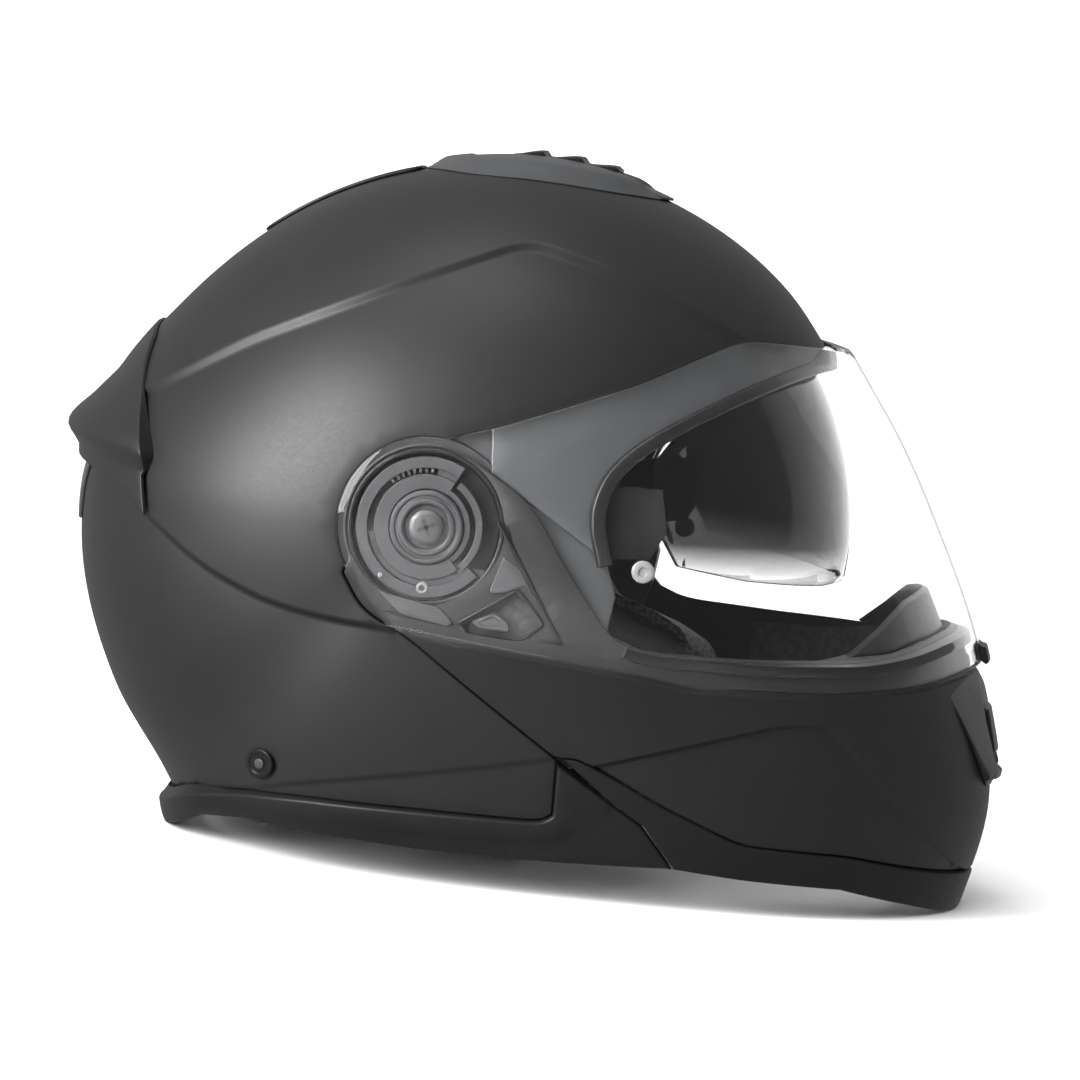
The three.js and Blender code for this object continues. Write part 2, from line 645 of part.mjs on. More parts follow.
// ---------------------------------------------------------------- chin bar latch
// On each side a hook on the chin bar holds a pin that stands on the shell's flange.
const strikerPlace = { x: 60, z: 62 };
const pinRadiusLatch = 2.5;
const plateOuter = halfWidth * 0.84;
const latchPlate = 2;
const hookOuter = plateOuter - 5.9;
const strikerPlate = sideCut(
  [[38, 66], [40, 70], [54, 67], [65, 66], [65, 58], [56, 56], [46, 58]],
  -plateOuter,
  latchPlate - plateOuter,
);
const strikerPin = disc(strikerPlace, pinRadiusLatch, hookOuter - latchPlate - 1, plateOuter - 1, 16);
pair("striker", join(strikerPlate, strikerPin), steel);
const hookPivot = { x: 80, z: 57 };
const hookShape = [
  [54, 66], [58, 68.5], [66, 68], [84, 62], [87, 57], [83, 51], [76, 52], [66, 58], [63.6, 60], [63.4, 64.2],
  [60, 65.4], [57, 64], [56.6, 60], [53.5, 60.5],
];
pair(
  "latch_hook",
  cut(
    sideCut(hookShape, -hookOuter, latchPlate - hookOuter),
    disc(hookPivot, pinRadiusLatch + joinGap, 0, outside, 16),
  ),
  steel,
);
const hookPinTop = halfAt(baseForm, -chinWall, hookPivot.x, hookPivot.z) - 1.8;
pair("hook_pin", disc(hookPivot, pinRadiusLatch, hookOuter - latchPlate - 1, hookPinTop, 16), steel);

const buttonBase = 14.4;
piece("release_button", box([148, -11, 2.5], [156, 11, buttonBase - 0.4]), rubber);
piece(
  "button_housing",
  common(
    join(box([143, -16, buttonBase + 4.4], [175, 16, buttonBase + 8]), box([143, -16, 8], [146.5, 16, buttonBase + 8])),
    body(baseForm, -trimWall - joinGap),
  ),
  greyPlastic,
);

// A round cord through hand-placed points.
function tube(points, radius, steps, sides = 8) {
  const path = new THREE.CatmullRomCurve3(points.map(([x, y, z]) => new THREE.Vector3(x, y, z)));
  const ring = new THREE.Shape(new THREE.EllipseCurve(0, 0, radius, radius).getPoints(sides).slice(0, sides));
  return solid(new THREE.ExtrudeGeometry(ring, { steps, extrudePath: path, bevelEnabled: false }));
}
pair(
  "latch_cable",
  tube([[145, -17.5, 21], [138, -48, 22], [110, -80, 25], [86, 9 - hookOuter, 34], [78, 5.5 - hookOuter, 46]], 1.4, 12),
  rubber,
);

// ---------------------------------------------------------------- sun visor slider, on the left lower edge
const sliderRun = [[-72, 28.5], [-18, 29], [-18, 40], [-72, 40]];
const knobOutline = [[-67, 31], [-51, 31], [-51, 38.5], [-67, 38.5]];
const trackTop = 1.4;
const knobRise = [3.2, 6.4];
const leftSide = (made) => common(made, mirrored(rightHalf));
piece("slider_track", leftSide(common(wall(baseForm, trackTop, joinGap), sideCut(sliderRun))), greyPlastic);
piece("sun_slider", leftSide(common(wall(baseForm, knobRise[1], knobRise[0]), sideCut(knobOutline))), greyPlastic);

// ---------------------------------------------------------------- chin strap
const rivetPlace = { x: -84, z: 35.5 };
const rivetRadius = 5.5;
pair(
  "strap_rivet",
  common(disc(rivetPlace, rivetRadius, 60, outside, 16), wall(baseForm, 2.2, joinGap, coarse, fine)),
  matteBlack,
);
pair(
  "strap_anchor",
  common(
    wall(baseForm, -anchorDepth, -anchorDepth - anchorWall, coarse),
    sideCut([[-93, 28], [-93, 43], [-52, 40], [-40, 36.4], [-40, 28]]),
    rightHalf,
  ),
  steel,
);

// A flat band through stations [centre, direction of its width].
function ribbon(stations, width, thickness) {
  const at = stations.map(([centre]) => new THREE.Vector3(...centre));
  const corners = [];
  stations.forEach(([, widthWay], i) => {
    const forward = at[Math.min(i + 1, at.length - 1)].clone().sub(at[Math.max(i - 1, 0)]).normalize();
    const side = new THREE.Vector3(...widthWay).normalize();
    const up = new THREE.Vector3().crossVectors(forward, side).normalize();
    for (const [a, b] of [[-1, -1], [1, -1], [1, 1], [-1, 1]]) {
      const corner = at[i].clone();
      corner.addScaledVector(side, (a * width) / 2).addScaledVector(up, (b * thickness) / 2);
      corners.push(corner.x, corner.y, corner.z);
    }
  });
  const faces = [];
  const last = (stations.length - 1) * 4;
  for (let i = 0; i < last; i += 4) {
    for (let k = 0; k < 4; k += 1) {
      const next = (k + 1) % 4;
      faces.push(i + k, i + next, i + 4 + next, i + k, i + 4 + next, i + 4 + k);
    }
  }
  faces.push(0, 2, 1, 0, 3, 2, last, last + 1, last + 2, last, last + 2, last + 3);
  const band = new THREE.BufferGeometry();
  band.setAttribute("position", new THREE.BufferAttribute(new Float32Array(corners), 3));
  band.setIndex(faces);
  return solid(band);
}
const strapEnd = 34;
const strapLevel = 13;
const strapMiddle = 2;
const strapRoute = [
  [[-42, -104.5, 26.5], [0, 0, 1]],
  [[-38.5, -101, 26.5], [0, 0, 1]],
  [[-37, -84, 26], [0, 0, 1]],
  [[-36, -70, 25], [0.15, 0, 1]],
  [[-34, -61, 21], [0.3, 0, 0.95]],
  [[-9, -52, 14], [0.9, 0, 0.42]],
  [[strapMiddle, -strapEnd, strapLevel], [1, 0, 0]],
];
pair("strap", ribbon(strapRoute, strapWidth - 2, strapThickness), webbing);

const buckleWide = strapWidth + 4;
const buckleFrom = strapEnd - joinGap - 0.2;
const buckleTo = -4;
const buckleSide = buckleWide / 2;
const buckleFloor = 9.6;
const buckleHigh = 18;
const buckleWalls = [-1, 1].map((side) => {
  const outer = strapMiddle + side * buckleSide;
  const inner = strapMiddle + side * (buckleSide - 1.8);
  return box(
    [Math.min(outer, inner), -buckleFrom, buckleFloor],
    [Math.max(outer, inner), -buckleTo, buckleHigh],
  );
});
piece(
  "buckle_body",
  join(
    box([strapMiddle - buckleSide, -buckleFrom, buckleFloor], [strapMiddle + buckleSide, -buckleTo, buckleFloor + 1.8]),
    ...buckleWalls,
  ),
  greyPlastic,
);
const tongueLevel = buckleFloor + 1.8 + joinGap;
piece(
  "strap_tongue",
  box(
    [strapMiddle - 9.5, -16, tongueLevel],
    [strapMiddle + 9.5, strapEnd - joinGap - 0.2, tongueLevel + 1.8],
  ),
  greyPlastic,
);
const leverHalf = buckleSide - 1.8 - joinGap;
piece(
  "buckle_lever",
  box([strapMiddle - leverHalf, -buckleFrom + 1, tongueLevel + 2.4], [strapMiddle + leverHalf, 1, buckleHigh - 0.6]),
  greyPlastic,
);

export default helmet;
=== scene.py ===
"""Looks of a modular (flip-up) motorcycle helmet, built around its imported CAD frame.

Lengths are millimetres in the row frame: +X to the front, +Z up, the wearer's right side at -Y.
A panel is an outline in the side view, wrapped on the helmet's form at two offsets, with rounded edges.
"""
import math

import bpy
import numpy as np
from mathutils import Matrix, Vector
from mathutils.geometry import delaunay_2d_cdt


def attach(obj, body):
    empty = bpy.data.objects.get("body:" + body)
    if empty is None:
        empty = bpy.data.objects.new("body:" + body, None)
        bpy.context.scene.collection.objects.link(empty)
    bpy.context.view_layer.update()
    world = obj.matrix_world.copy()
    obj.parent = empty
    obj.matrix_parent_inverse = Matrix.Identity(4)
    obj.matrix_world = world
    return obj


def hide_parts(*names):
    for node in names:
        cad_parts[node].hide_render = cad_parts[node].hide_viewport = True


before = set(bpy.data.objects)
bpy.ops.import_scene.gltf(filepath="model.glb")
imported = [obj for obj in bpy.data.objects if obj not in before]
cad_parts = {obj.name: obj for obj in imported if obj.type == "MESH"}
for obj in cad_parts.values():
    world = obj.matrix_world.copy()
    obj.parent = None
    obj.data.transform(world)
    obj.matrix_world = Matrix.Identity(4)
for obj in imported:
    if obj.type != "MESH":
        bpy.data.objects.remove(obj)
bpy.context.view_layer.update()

MM = 0.001
scene = bpy.context.scene

# ---------------------------------------------------------------- outer form
HINGE = np.array([-30.0, 128.5])
HALF_WIDTH = 129.0
SHELL_WALL = 3.5
VISOR_INNER, VISOR_OUTER = 0.9, 2.9  # the visor's faces, out from its form
SUN_LENS = 2  # its thickness
SUN_RADIUS, SUN_HALF_WIDTH, SUN_POWER = 125.2, 112.0, 2.6
POCKET_RADIUS = 28.6  # the shell's well for the hinge
BORE_RADIUS = 26.2  # the chin bar's opening over it
SUN_PIVOT = np.array([-10.0, 125.4])
# Side profile as (angle about the hinge, radius)
BASE_PROFILE = [(-171, 145.3), (-147, 147.2), (-129, 153), (-110, 187), (-84, 233), (-60, 253),
                (-44, 252.5), (-31.6, 236), (-23, 225), (-14.5, 206), (-3.6, 182.5), (10.7, 161.2),
                (25, 149.6), (40, 145.3), (60, 138), (83, 131), (102, 126.6), (130, 126), (149, 129.6),
                (165, 137.8), (178, 144.3),]
VISOR_PROFILE = [(-34, 241), (-22, 224), (-10.2, 198.9), (3.1, 175.4), (19.1, 158.4), (28, 153.1),
                 (42, 147), (60, 139.5), (90, 129.5),]
SPOILER_PROFILE = [(140, 127), (150, 129.8), (156.5, 132.8), (163, 138), (168.5, 144.6), (173.4, 151.9),
                   (176, 147), (179, 142), (186, 139),]


def profile_curve(points, periodic):
    """Smooth curve through (angle, value) points; zero outside them if it isn't periodic."""
    turns = (-360, 0, 360) if periodic else (0,)
    angle = np.array([p[0] + turn for turn in turns for p in points], float)
    value = np.array([p[1] for turn in turns for p in points], float)
    last = len(angle) - 1
    k = np.arange(last + 1)
    after, before = np.minimum(k + 1, last), np.maximum(k - 1, 0)
    slope = (value[after] - value[before]) / (angle[after] - angle[before])

    def at(x):
        x = np.asarray(x, float)
        i = np.clip(np.searchsorted(angle, x, side="right") - 1, 0, last - 1)
        span = angle[i + 1] - angle[i]
        t = np.clip((x - angle[i]) / span, 0, 1)
        found = (
            (2 * t**3 - 3 * t**2 + 1) * value[i]
            + (t**3 - 2 * t**2 + t) * span * slope[i]
            + (3 * t**2 - 2 * t**3) * value[i + 1]
            + (t**3 - t**2) * span * slope[i + 1]
        )
        return found if periodic else np.where((x <= angle[0]) | (x >= angle[-1]), 0.0, found)

    return at


base_radius = profile_curve(BASE_PROFILE, True)
visor_curve = profile_curve(VISOR_PROFILE, False)
spoiler_curve = profile_curve(SPOILER_PROFILE, False)


def visor_radius(angle):
    return np.maximum(base_radius(angle), visor_curve(angle))


def spoiler_radius(angle):
    return np.maximum(base_radius(angle), spoiler_curve(np.where(np.asarray(angle) < 0, angle + 360, angle)))


def trim_radius(angle):
    return base_radius(angle) + 8 * np.exp(-(((angle + 127.6) / 5) ** 2))


def helmet_power(angle):
    return 2.2 + 0.15 * np.cos(np.radians(angle))


class Form:
    """A closed form: a side profile about a centre, and how full its sides are.

    A point on the right side is kept flattened, as q: its direction from the centre, and how far round it is
    to the middle plane, scaled to the profile's radius."""

    def __init__(self, radius, centre=HINGE, half_width=HALF_WIDTH, power=helmet_power):
        self.radius, self.centre, self.half_width, self.power = radius, centre, half_width, power

    def place(self, q, offset=0.0):
        theta = np.degrees(np.arctan2(q[:, 1], q[:, 0]))
        radius = self.radius(theta)
        phi = np.minimum(np.hypot(q[:, 0], q[:, 1]) / radius, 1) * (np.pi / 2)
        reach = np.sin(phi) ** (2 / self.power(theta)) * (radius + offset)
        across = np.where(phi > np.pi / 2 - 1e-6, 0.0, np.cos(phi)) * (self.half_width + offset)
        turn = np.radians(theta)
        return np.column_stack(
            [self.centre[0] + reach * np.cos(turn), -across, self.centre[1] + reach * np.sin(turn)]
        )

    def flatten(self, side, offset=0.0):
        d = side - self.centre
        theta = np.degrees(np.arctan2(d[:, 1], d[:, 0]))
        radius = self.radius(theta)
        rho = np.hypot(d[:, 0], d[:, 1])
        share = rho / (radius + offset)
        phi = np.arcsin(np.minimum(share, 1) ** (self.power(theta) / 2))
        scale = radius * phi / (np.pi / 2) / np.maximum(rho, 1e-9)
        return d * scale[:, None], share

    def snap(self, q):
        theta = np.degrees(np.arctan2(q[:, 1], q[:, 0]))
        return q / np.hypot(q[:, 0], q[:, 1])[:, None] * self.radius(theta)[:, None]

    def seek(self, aim, y, low, high, offset=0.0):
        """Flattened points at half widths y whose place meets aim(x, z) = 0 between two angles."""
        phi = np.arccos(np.clip(np.abs(y) / (self.half_width + offset), 0, 1))
        low, high = np.full(len(y), float(low)), np.full(len(y), float(high))

        def at(theta):
            r = self.radius(theta) * phi / (np.pi / 2)
            return np.column_stack([r * np.cos(np.radians(theta)), r * np.sin(np.radians(theta))])

        for _ in range(40):
            middle = (low + high) / 2
            p = self.place(at(middle), offset)
            over = aim(p[:, 0], p[:, 2]) > 0
            low, high = np.where(over, middle, low), np.where(over, high, middle)
        return at((low + high) / 2)


base = Form(base_radius)
visor_form = Form(visor_radius)
spoiler_form = Form(spoiler_radius)
trim_form = Form(trim_radius)
sun_form = Form(lambda a: np.full(np.shape(a), SUN_RADIUS), SUN_PIVOT, SUN_HALF_WIDTH,
                lambda a: np.full(np.shape(a), SUN_POWER))


# ---------------------------------------------------------------- outlines
TRACE_STEP = 1.8  # between an outline's points
FINE_STEP = 1.2


def arc(centre, radius, start, end, steps):
    turn = np.radians(np.linspace(start, end, steps + 1))
    return [(centre[0] + radius * math.cos(t), centre[1] + radius * math.sin(t)) for t in turn]


def shifted(points, distance):
    """A polyline moved sideways: positive is to the left of its direction."""
    p = np.array(points, float)
    before = np.vstack([p[:1], p[:-1]])
    after = np.vstack([p[1:], p[-1:]])
    run = after - before
    run /= np.hypot(run[:, 0], run[:, 1])[:, None]
    return [tuple(x) for x in p + distance * np.column_stack([-run[:, 1], run[:, 0]])]


def soft(points, reach=10, steps=4):
    """A polyline with its corners rounded, from at most reach before each to reach after it."""
    p = [np.array(x, float) for x in points]
    out = [p[0]]
    for a, b, c in zip(p, p[1:], p[2:]):
        first = b + (a - b) * min(reach / np.linalg.norm(a - b), 0.48)
        last = b + (c - b) * min(reach / np.linalg.norm(c - b), 0.48)
        for k in range(steps + 1):
            t = k / steps
            out.append((1 - t) ** 2 * first + 2 * t * (1 - t) * b + t**2 * last)
    return [tuple(x) for x in out + [p[-1]]]


def rounded(points, reach):
    """A closed outline with its corners rounded, all but the first."""
    return soft(points + points[:1], reach)[:-1]


def dense(points, step, closed=True):
    """A polyline with points no further apart than step."""
    p = np.array(points, float)
    starts, ends = (p, np.roll(p, -1, 0)) if closed else (p[:-1], p[1:])
    out = []
    for a, b in zip(starts, ends):
        n = max(1, int(np.ceil(np.hypot(*(b - a)) / step)))
        out += [a + (b - a) * k / n for k in range(n)]
    if not closed:
        out.append(p[-1])
    return np.array(out)


def trace(form, points, offset=0.0, step=TRACE_STEP):
    """A closed side view outline, flattened. Where it leaves the form it follows the middle plane."""
    side = dense(points, step)
    q, share = form.flatten(side, offset)
    out = []
    for i in range(len(side)):
        j = (i + 1) % len(side)
        out.append(q[i])
        if (share[i] < 1) != (share[j] < 1):
            a, b = side[i], side[j]
            for _ in range(30):
                middle = (a + b) / 2
                inside = form.flatten(middle[None], offset)[1][0] < 1
                a, b = (middle, b) if inside == (share[i] < 1) else (a, middle)
            out.append(form.snap(form.flatten(((a + b) / 2)[None], offset)[0])[0])
    return np.array(out)


def plan_points(form, points):
    """Points [x, half width] seen from above, flattened."""
    return np.vstack([form.seek(lambda x, z, t=t: x - t[0], np.array([t[1]]), 1, 179) for t in points])


def plan_trace(form, points):
    """Half an outline seen from above, from the middle plane to the middle plane."""
    return plan_points(form, dense(points, TRACE_STEP, False))


def front_trace(form, points, offset=0.0, step=TRACE_STEP):
    """Half an outline [half width, z] seen from the front."""
    p = dense(points, step, False)
    return np.vstack([form.seek(lambda x, z, t=t: t[1] - z, np.array([t[0]]), -75, 85, offset) for t in p])


def rear_points(form, points):
    """Points [half width, z] seen from behind, flattened."""
    return np.vstack([form.seek(lambda x, z, t=t: z - t[1], np.array([t[0]]), 95, 265) for t in points])


def signed_distance(points, line):
    """Distance from side view points to a polyline, positive on its left."""
    a, b = np.array(line[:-1], float), np.array(line[1:], float)
    d = b - a
    w = points[:, None, :] - a[None]
    t = np.clip((w * d).sum(2) / (d * d).sum(1), 0, 1)
    gap = w - t[..., None] * d
    length = np.hypot(gap[..., 0], gap[..., 1])
    nearest = length.argmin(1)
    k = np.arange(len(points))
    side = d[nearest, 0] * w[k, nearest, 1] - d[nearest, 1] * w[k, nearest, 0]
    return np.where(side < 0, -1, 1) * length[k, nearest]


def ramp(x, start, end):
    t = np.clip((x - start) / (end - start), 0, 1)
    return t * t * (3 - 2 * t)


def inside(points, polygon):
    """Which points are inside a closed polygon."""
    a, b = polygon, np.roll(polygon, -1, 0)
    found = np.zeros(len(points), bool)
    for (ax, ay), (bx, by) in zip(a, b):
        if ay == by:
            continue
        crosses = (ay > points[:, 1]) != (by > points[:, 1])
        at = ax + (points[:, 1] - ay) * (bx - ax) / (by - ay)
        found ^= crosses & (points[:, 0] < at)
    return found


def area(q):
    after = np.roll(q, -1, 0)
    return 0.5 * np.sum(q[:, 0] * after[:, 1] - q[:, 1] * after[:, 0])


# ---------------------------------------------------------------- meshes
def add(name, verts, faces, look, body, slot, replaces=(), bevel=0.0, sharp=40):
    """One piece from a mesh in millimetres."""
    mesh = bpy.data.meshes.new(name)
    mesh.from_pydata((np.asarray(verts) * MM).tolist(), [], faces)
    mesh.validate()
    mesh.shade_smooth()
    mesh.set_sharp_from_angle(angle=math.radians(sharp))
    mesh.materials.append(look)
    o = bpy.data.objects.new(name, mesh)
    scene.collection.objects.link(o)
    if bevel:
        m = o.modifiers.new("Bevel", "BEVEL")
        m.width = bevel * MM
        m.segments = 2
        m.limit_method = "ANGLE"
        m.angle_limit = math.radians(35)
        m.harden_normals = True
    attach(o, body)
    if replaces:
        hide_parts(*replaces)
    return o


def flipped(verts, faces):
    return np.asarray(verts) * [1, -1, 1], [tuple(reversed(f)) for f in faces]


def add_pair(name, verts, faces, look, body, slot, replaces=(), **more):
    """The same piece on both sides. Where body or a replaced node has {side}, each side has its own."""
    made = []
    for side, (v, f) in (("right", (verts, faces)), ("left", flipped(verts, faces))):
        nodes = [n.format(side=side) for n in replaces]
        made.append(add(f"{name}_{side}", v, f, look, body.format(side=side), slot, nodes, **more))
    return made


def edge_rows(form, q, closed, outer, inner, edge, rows=3):
    """Rounds the wall along a boundary. Gives the inset boundary and the rows of points down the wall."""
    if closed:
        before, after = np.roll(q, 1, 0), np.roll(q, -1, 0)
    else:
        before, after = np.vstack([q[:1], q[:-1]]), np.vstack([q[1:], q[-1:]])
    run = after - before
    run /= np.hypot(run[:, 0], run[:, 1])[:, None]
    inward = np.column_stack([-run[:, 1], run[:, 0]])
    ends = [] if closed else [0, len(q) - 1]
    for e in ends:
        out = q[e] / np.hypot(*q[e])
        inward[e] -= out * inward[e].dot(out)
        inward[e] /= np.hypot(*inward[e])

    def moved(distance):
        near = q + inward * np.reshape(distance, (-1, 1))
        for e in ends:
            near[e] = form.snap(near[e : e + 1])[0]
        return near

    probe = 0.6
    at = form.place(q, outer(q))
    near = moved(np.full(len(q), probe))
    into = form.place(near, outer(near)) - at
    scale = np.linalg.norm(into, axis=1) / probe
    along = form.place(after, outer(after)) - form.place(before, outer(before))
    along /= np.linalg.norm(along, axis=1)[:, None]
    into -= along * (into * along).sum(1)[:, None]
    into /= np.linalg.norm(into, axis=1)[:, None]
    normal = np.cross(along, into)
    for e in ends:
        into[e, 1] = normal[e, 1] = 0
        into[e] /= np.linalg.norm(into[e])
        normal[e] /= np.linalg.norm(normal[e])
    inset = moved(edge / scale)
    wall = []
    for k in range(1, rows + 1):
        turn = k / rows * math.pi / 2
        wall.append(at + into * edge * (1 - math.sin(turn)) - normal * edge * (1 - math.cos(turn)))
    wall.append(form.place(q, inner(q)) + normal * 0.35 * edge)
    for row in wall:
        for e in ends:
            row[e, 1] = 0
    return inset, wall


def chains_of(rim):
    """Runs of boundary edges that aren't on the middle plane, and whether there is only one closed run."""
    n = len(rim)
    walled = [not (rim[i] and rim[(i + 1) % n]) for i in range(n)]
    if all(walled):
        return [list(range(n))], True
    start = next(i for i in range(n) if walled[i] and not walled[i - 1])
    chains, current = [], []
    for k in range(n):
        i = (start + k) % n
        if walled[i]:
            current = current or [i]
            current.append((i + 1) % n)
        elif current:
            chains.append(current)
            current = []
    return chains + ([current] if current else []), False


def panel_mesh(form, outline, outer, inner, edge=0.8, spacing=3.2, holes=(), lines=()):
    """The right half of a panel, as points and faces. Points on the middle plane have y = 0."""
    top = outer if callable(outer) else (lambda q: np.full(len(q), float(outer)))
    under = inner if callable(inner) else (lambda q: np.full(len(q), float(inner)))
    outline = outline if area(outline) > 0 else outline[::-1]
    theta = np.degrees(np.arctan2(outline[:, 1], outline[:, 0]))
    rim = np.hypot(outline[:, 0], outline[:, 1]) > form.radius(theta) - 1e-3
    chains, closed = chains_of(rim)
    points, walls = [], []
    done = [edge_rows(form, outline[c], closed, top, under, edge) for c in chains]
    polygon = []
    for k, (inset, rows) in enumerate(done):
        walls.append((len(points), rows, closed))
        points += list(inset)
        polygon += list(inset)
        if closed:
            continue
        follow = chains[(k + 1) % len(chains)][0]
        i, route = chains[k][-1], []
        while True:
            route.append(i)
            if i == follow:
                break
            i = (i + 1) % len(outline)
        ways = np.unwrap(np.arctan2(outline[route, 1], outline[route, 0]))
        first = math.atan2(inset[-1][1], inset[-1][0])
        last = math.atan2(done[(k + 1) % len(done)][0][0][1], done[(k + 1) % len(done)][0][0][0])
        first += 2 * math.pi * round((ways[0] - first) / (2 * math.pi))
        last += 2 * math.pi * round((ways[-1] - last) / (2 * math.pi))
        n = max(2, int(abs(last - first) * 150 / spacing))
        turns = np.linspace(first, last, n + 1)[1:-1]
        arc_points = form.snap(np.column_stack([np.cos(turns), np.sin(turns)]))
        points += list(arc_points)
        polygon += list(arc_points)
    edges = [(i, (i + 1) % len(points)) for i in range(len(points))]
    polygon = np.array(polygon)
    voids = []
    for hole in holes:
        hole = hole if area(hole) < 0 else hole[::-1]
        inset, rows = edge_rows(form, hole, True, top, under, edge)
        first = len(points)
        walls.append((first, rows, True))
        points += list(inset)
        edges += [(first + i, first + (i + 1) % len(inset)) for i in range(len(inset))]
        voids.append(inset)

    def kept(q, margin):
        good = inside(q, polygon)
        border = np.vstack([polygon, *voids])
        for void in voids:
            good &= ~inside(q, void)
        for i in np.flatnonzero(good):
            good[i] = np.min(np.hypot(*(border - q[i]).T)) > margin
        return good

    on_lines = []
    for line in lines:
        good = kept(line, 0.9)
        before = None
        for p, ok in zip(line, good):
            if ok:
                on_lines.append(p)
                points.append(p)
                if before is not None:
                    edges.append((before, len(points) - 1))
                before = len(points) - 1
            else:
                before = None
    low, high = polygon.min(0), polygon.max(0)
    rows_y = np.arange(low[1], high[1], spacing * 0.866)
    grid = [
        (x + (spacing / 2 if k % 2 else 0), y)
        for k, y in enumerate(rows_y)
        for x in np.arange(low[0], high[0], spacing)
    ]
    grid = np.array(grid)
    grid = grid[kept(grid, spacing * 0.55)]
    if on_lines:
        marks = np.array(on_lines)
        far = [np.min(np.hypot(*(marks - g).T)) > spacing * 0.5 for g in grid]
        grid = grid[far]
    points += list(grid)
    found, _, faces, origin, _, _ = delaunay_2d_cdt([Vector(p) for p in points], edges, [], 0, 1e-6)
    q = np.array([tuple(v) for v in found])
    index = {}
    for new, old in enumerate(origin):
        for o in old:
            index[o] = new
    tri = np.array([f for f in faces if len(f) == 3])
    middle = q[tri].mean(1)
    good = inside(middle, polygon)
    for void in voids:
        good &= ~inside(middle, void)
    tri = tri[good]
    a, b, c = q[tri[:, 0]], q[tri[:, 1]], q[tri[:, 2]]
    turned = (b[:, 0] - a[:, 0]) * (c[:, 1] - a[:, 1]) - (b[:, 1] - a[:, 1]) * (c[:, 0] - a[:, 0]) < 0
    tri[turned] = tri[turned][:, ::-1]
    n = len(q)
    verts = [form.place(q, top(q)), form.place(q, under(q))]
    out = [tuple(t) for t in tri.tolist()] + [(t[0] + n, t[2] + n, t[1] + n) for t in tri.tolist()]
    count = 2 * n
    for first, rows, loop in walls:
        m = len(rows[0])
        rings = [[index[first + i] for i in range(m)]]
        for row in rows:
            verts.append(row)
            rings.append([count + i for i in range(m)])
            count += m
        rings.append([index[first + i] + n for i in range(m)])
        for high_ring, low_ring in zip(rings, rings[1:]):
            for i in range(m if loop else m - 1):
                j = (i + 1) % m
                out.append((high_ring[i], low_ring[i], low_ring[j], high_ring[j]))
    verts = np.vstack(verts)
    used = np.zeros(len(verts), bool)
    used[[i for f in out for i in f]] = True
    place = np.cumsum(used) - 1
    return verts[used], [tuple(int(place[i]) for i in f) for f in out]


def whole(verts, faces):
    """Both halves, joined on the middle plane."""
    on_plane = np.abs(verts[:, 1]) < 1e-4
    other = np.full(len(verts), -1)
    other[~on_plane] = len(verts) + np.arange((~on_plane).sum())
    other[on_plane] = np.flatnonzero(on_plane)
    both = np.vstack([verts, verts[~on_plane] * [1, -1, 1]])
    return both, faces + [tuple(int(other[i]) for i in reversed(f)) for f in faces]


def panel(name, form, outline, outer, inner, look, body, slot, replaces=(), sharp=40, **more):
    verts, faces = whole(*panel_mesh(form, outline, outer, inner, **more))
    return add(name, verts, faces, look, body, slot, replaces, sharp=sharp)


def turned(profile, centre=HINGE, segments=96):
    """A turned piece about Y, on the right side. Profile points are (radius, half width), closed."""
    verts, faces = [], []
    n = len(profile)
    for s in range(segments):
        a = 2 * math.pi * s / segments
        for r, y in profile:
            verts.append((centre[0] + r * math.cos(a), -y, centre[1] + r * math.sin(a)))
    for s in range(segments):
        t = (s + 1) % segments
        for i in range(n):
            j = (i + 1) % n
            if profile[i][0] == 0 and profile[j][0] == 0:
                continue
            faces.append((s * n + i, s * n + j, t * n + j, t * n + i))
    return weld(verts, faces)


def weld(verts, faces):
    """Shares points that lie together and drops faces that have closed up."""
    keys, points, index = {}, [], []
    for v in verts:
        key = tuple(round(c, 4) for c in v)
        if key not in keys:
            keys[key] = len(points)
            points.append(v)
        index.append(keys[key])
    out = []
    for f in faces:
        ring = [index[i] for i in f]
        ring = [i for k, i in enumerate(ring) if i != ring[k - 1]]
        if len(set(ring)) > 2:
            out.append(tuple(ring))
    return np.array(points, float), out


def prism(outline, low, high):
    """A side view outline between two half widths, on the right side."""
    p = np.array(outline, float)
    p = p if area(p) > 0 else p[::-1]
    n = len(p)
    verts = [(x, -high, z) for x, z in p] + [(x, -low, z) for x, z in p]
    faces = [tuple(range(n)), tuple(range(2 * n - 1, n - 1, -1))]
    faces += [(i, i + n, (i + 1) % n + n, (i + 1) % n) for i in range(n)]
    return np.array(verts, float), faces


def sector(inner, outer, start, end, low, high, centre=HINGE):
    steps = max(2, int(abs(end - start) / 4))
    ring = arc(centre, outer, start, end, steps) + arc(centre, inner, end, start, steps)
    return prism(ring, low, high)


def merged(*parts):
    verts, faces, count = [], [], 0
    for v, f in parts:
        verts.append(np.asarray(v, float))
        faces += [tuple(i + count for i in face) for face in f]
        count += len(v)
    return np.vstack(verts), faces


# ---------------------------------------------------------------- materials
def new_material(name, colour, roughness, metallic=0.0, **sockets):
    m = bpy.data.materials.new(name)
    m.use_nodes = True
    shader = m.node_tree.nodes["Principled BSDF"]
    shader.inputs["Base Color"].default_value = (*colour, 1)
    shader.inputs["Roughness"].default_value = roughness
    shader.inputs["Metallic"].default_value = metallic
    for key, value in sockets.items():
        shader.inputs[key.replace("_", " ")].default_value = value
    return m, m.node_tree, shader


def node(tree, kind, **values):
    n = tree.nodes.new(kind)
    for key, value in values.items():
        if hasattr(n, key):
            setattr(n, key, value)
        else:
            n.inputs[key.replace("_", " ")].default_value = value
    return n


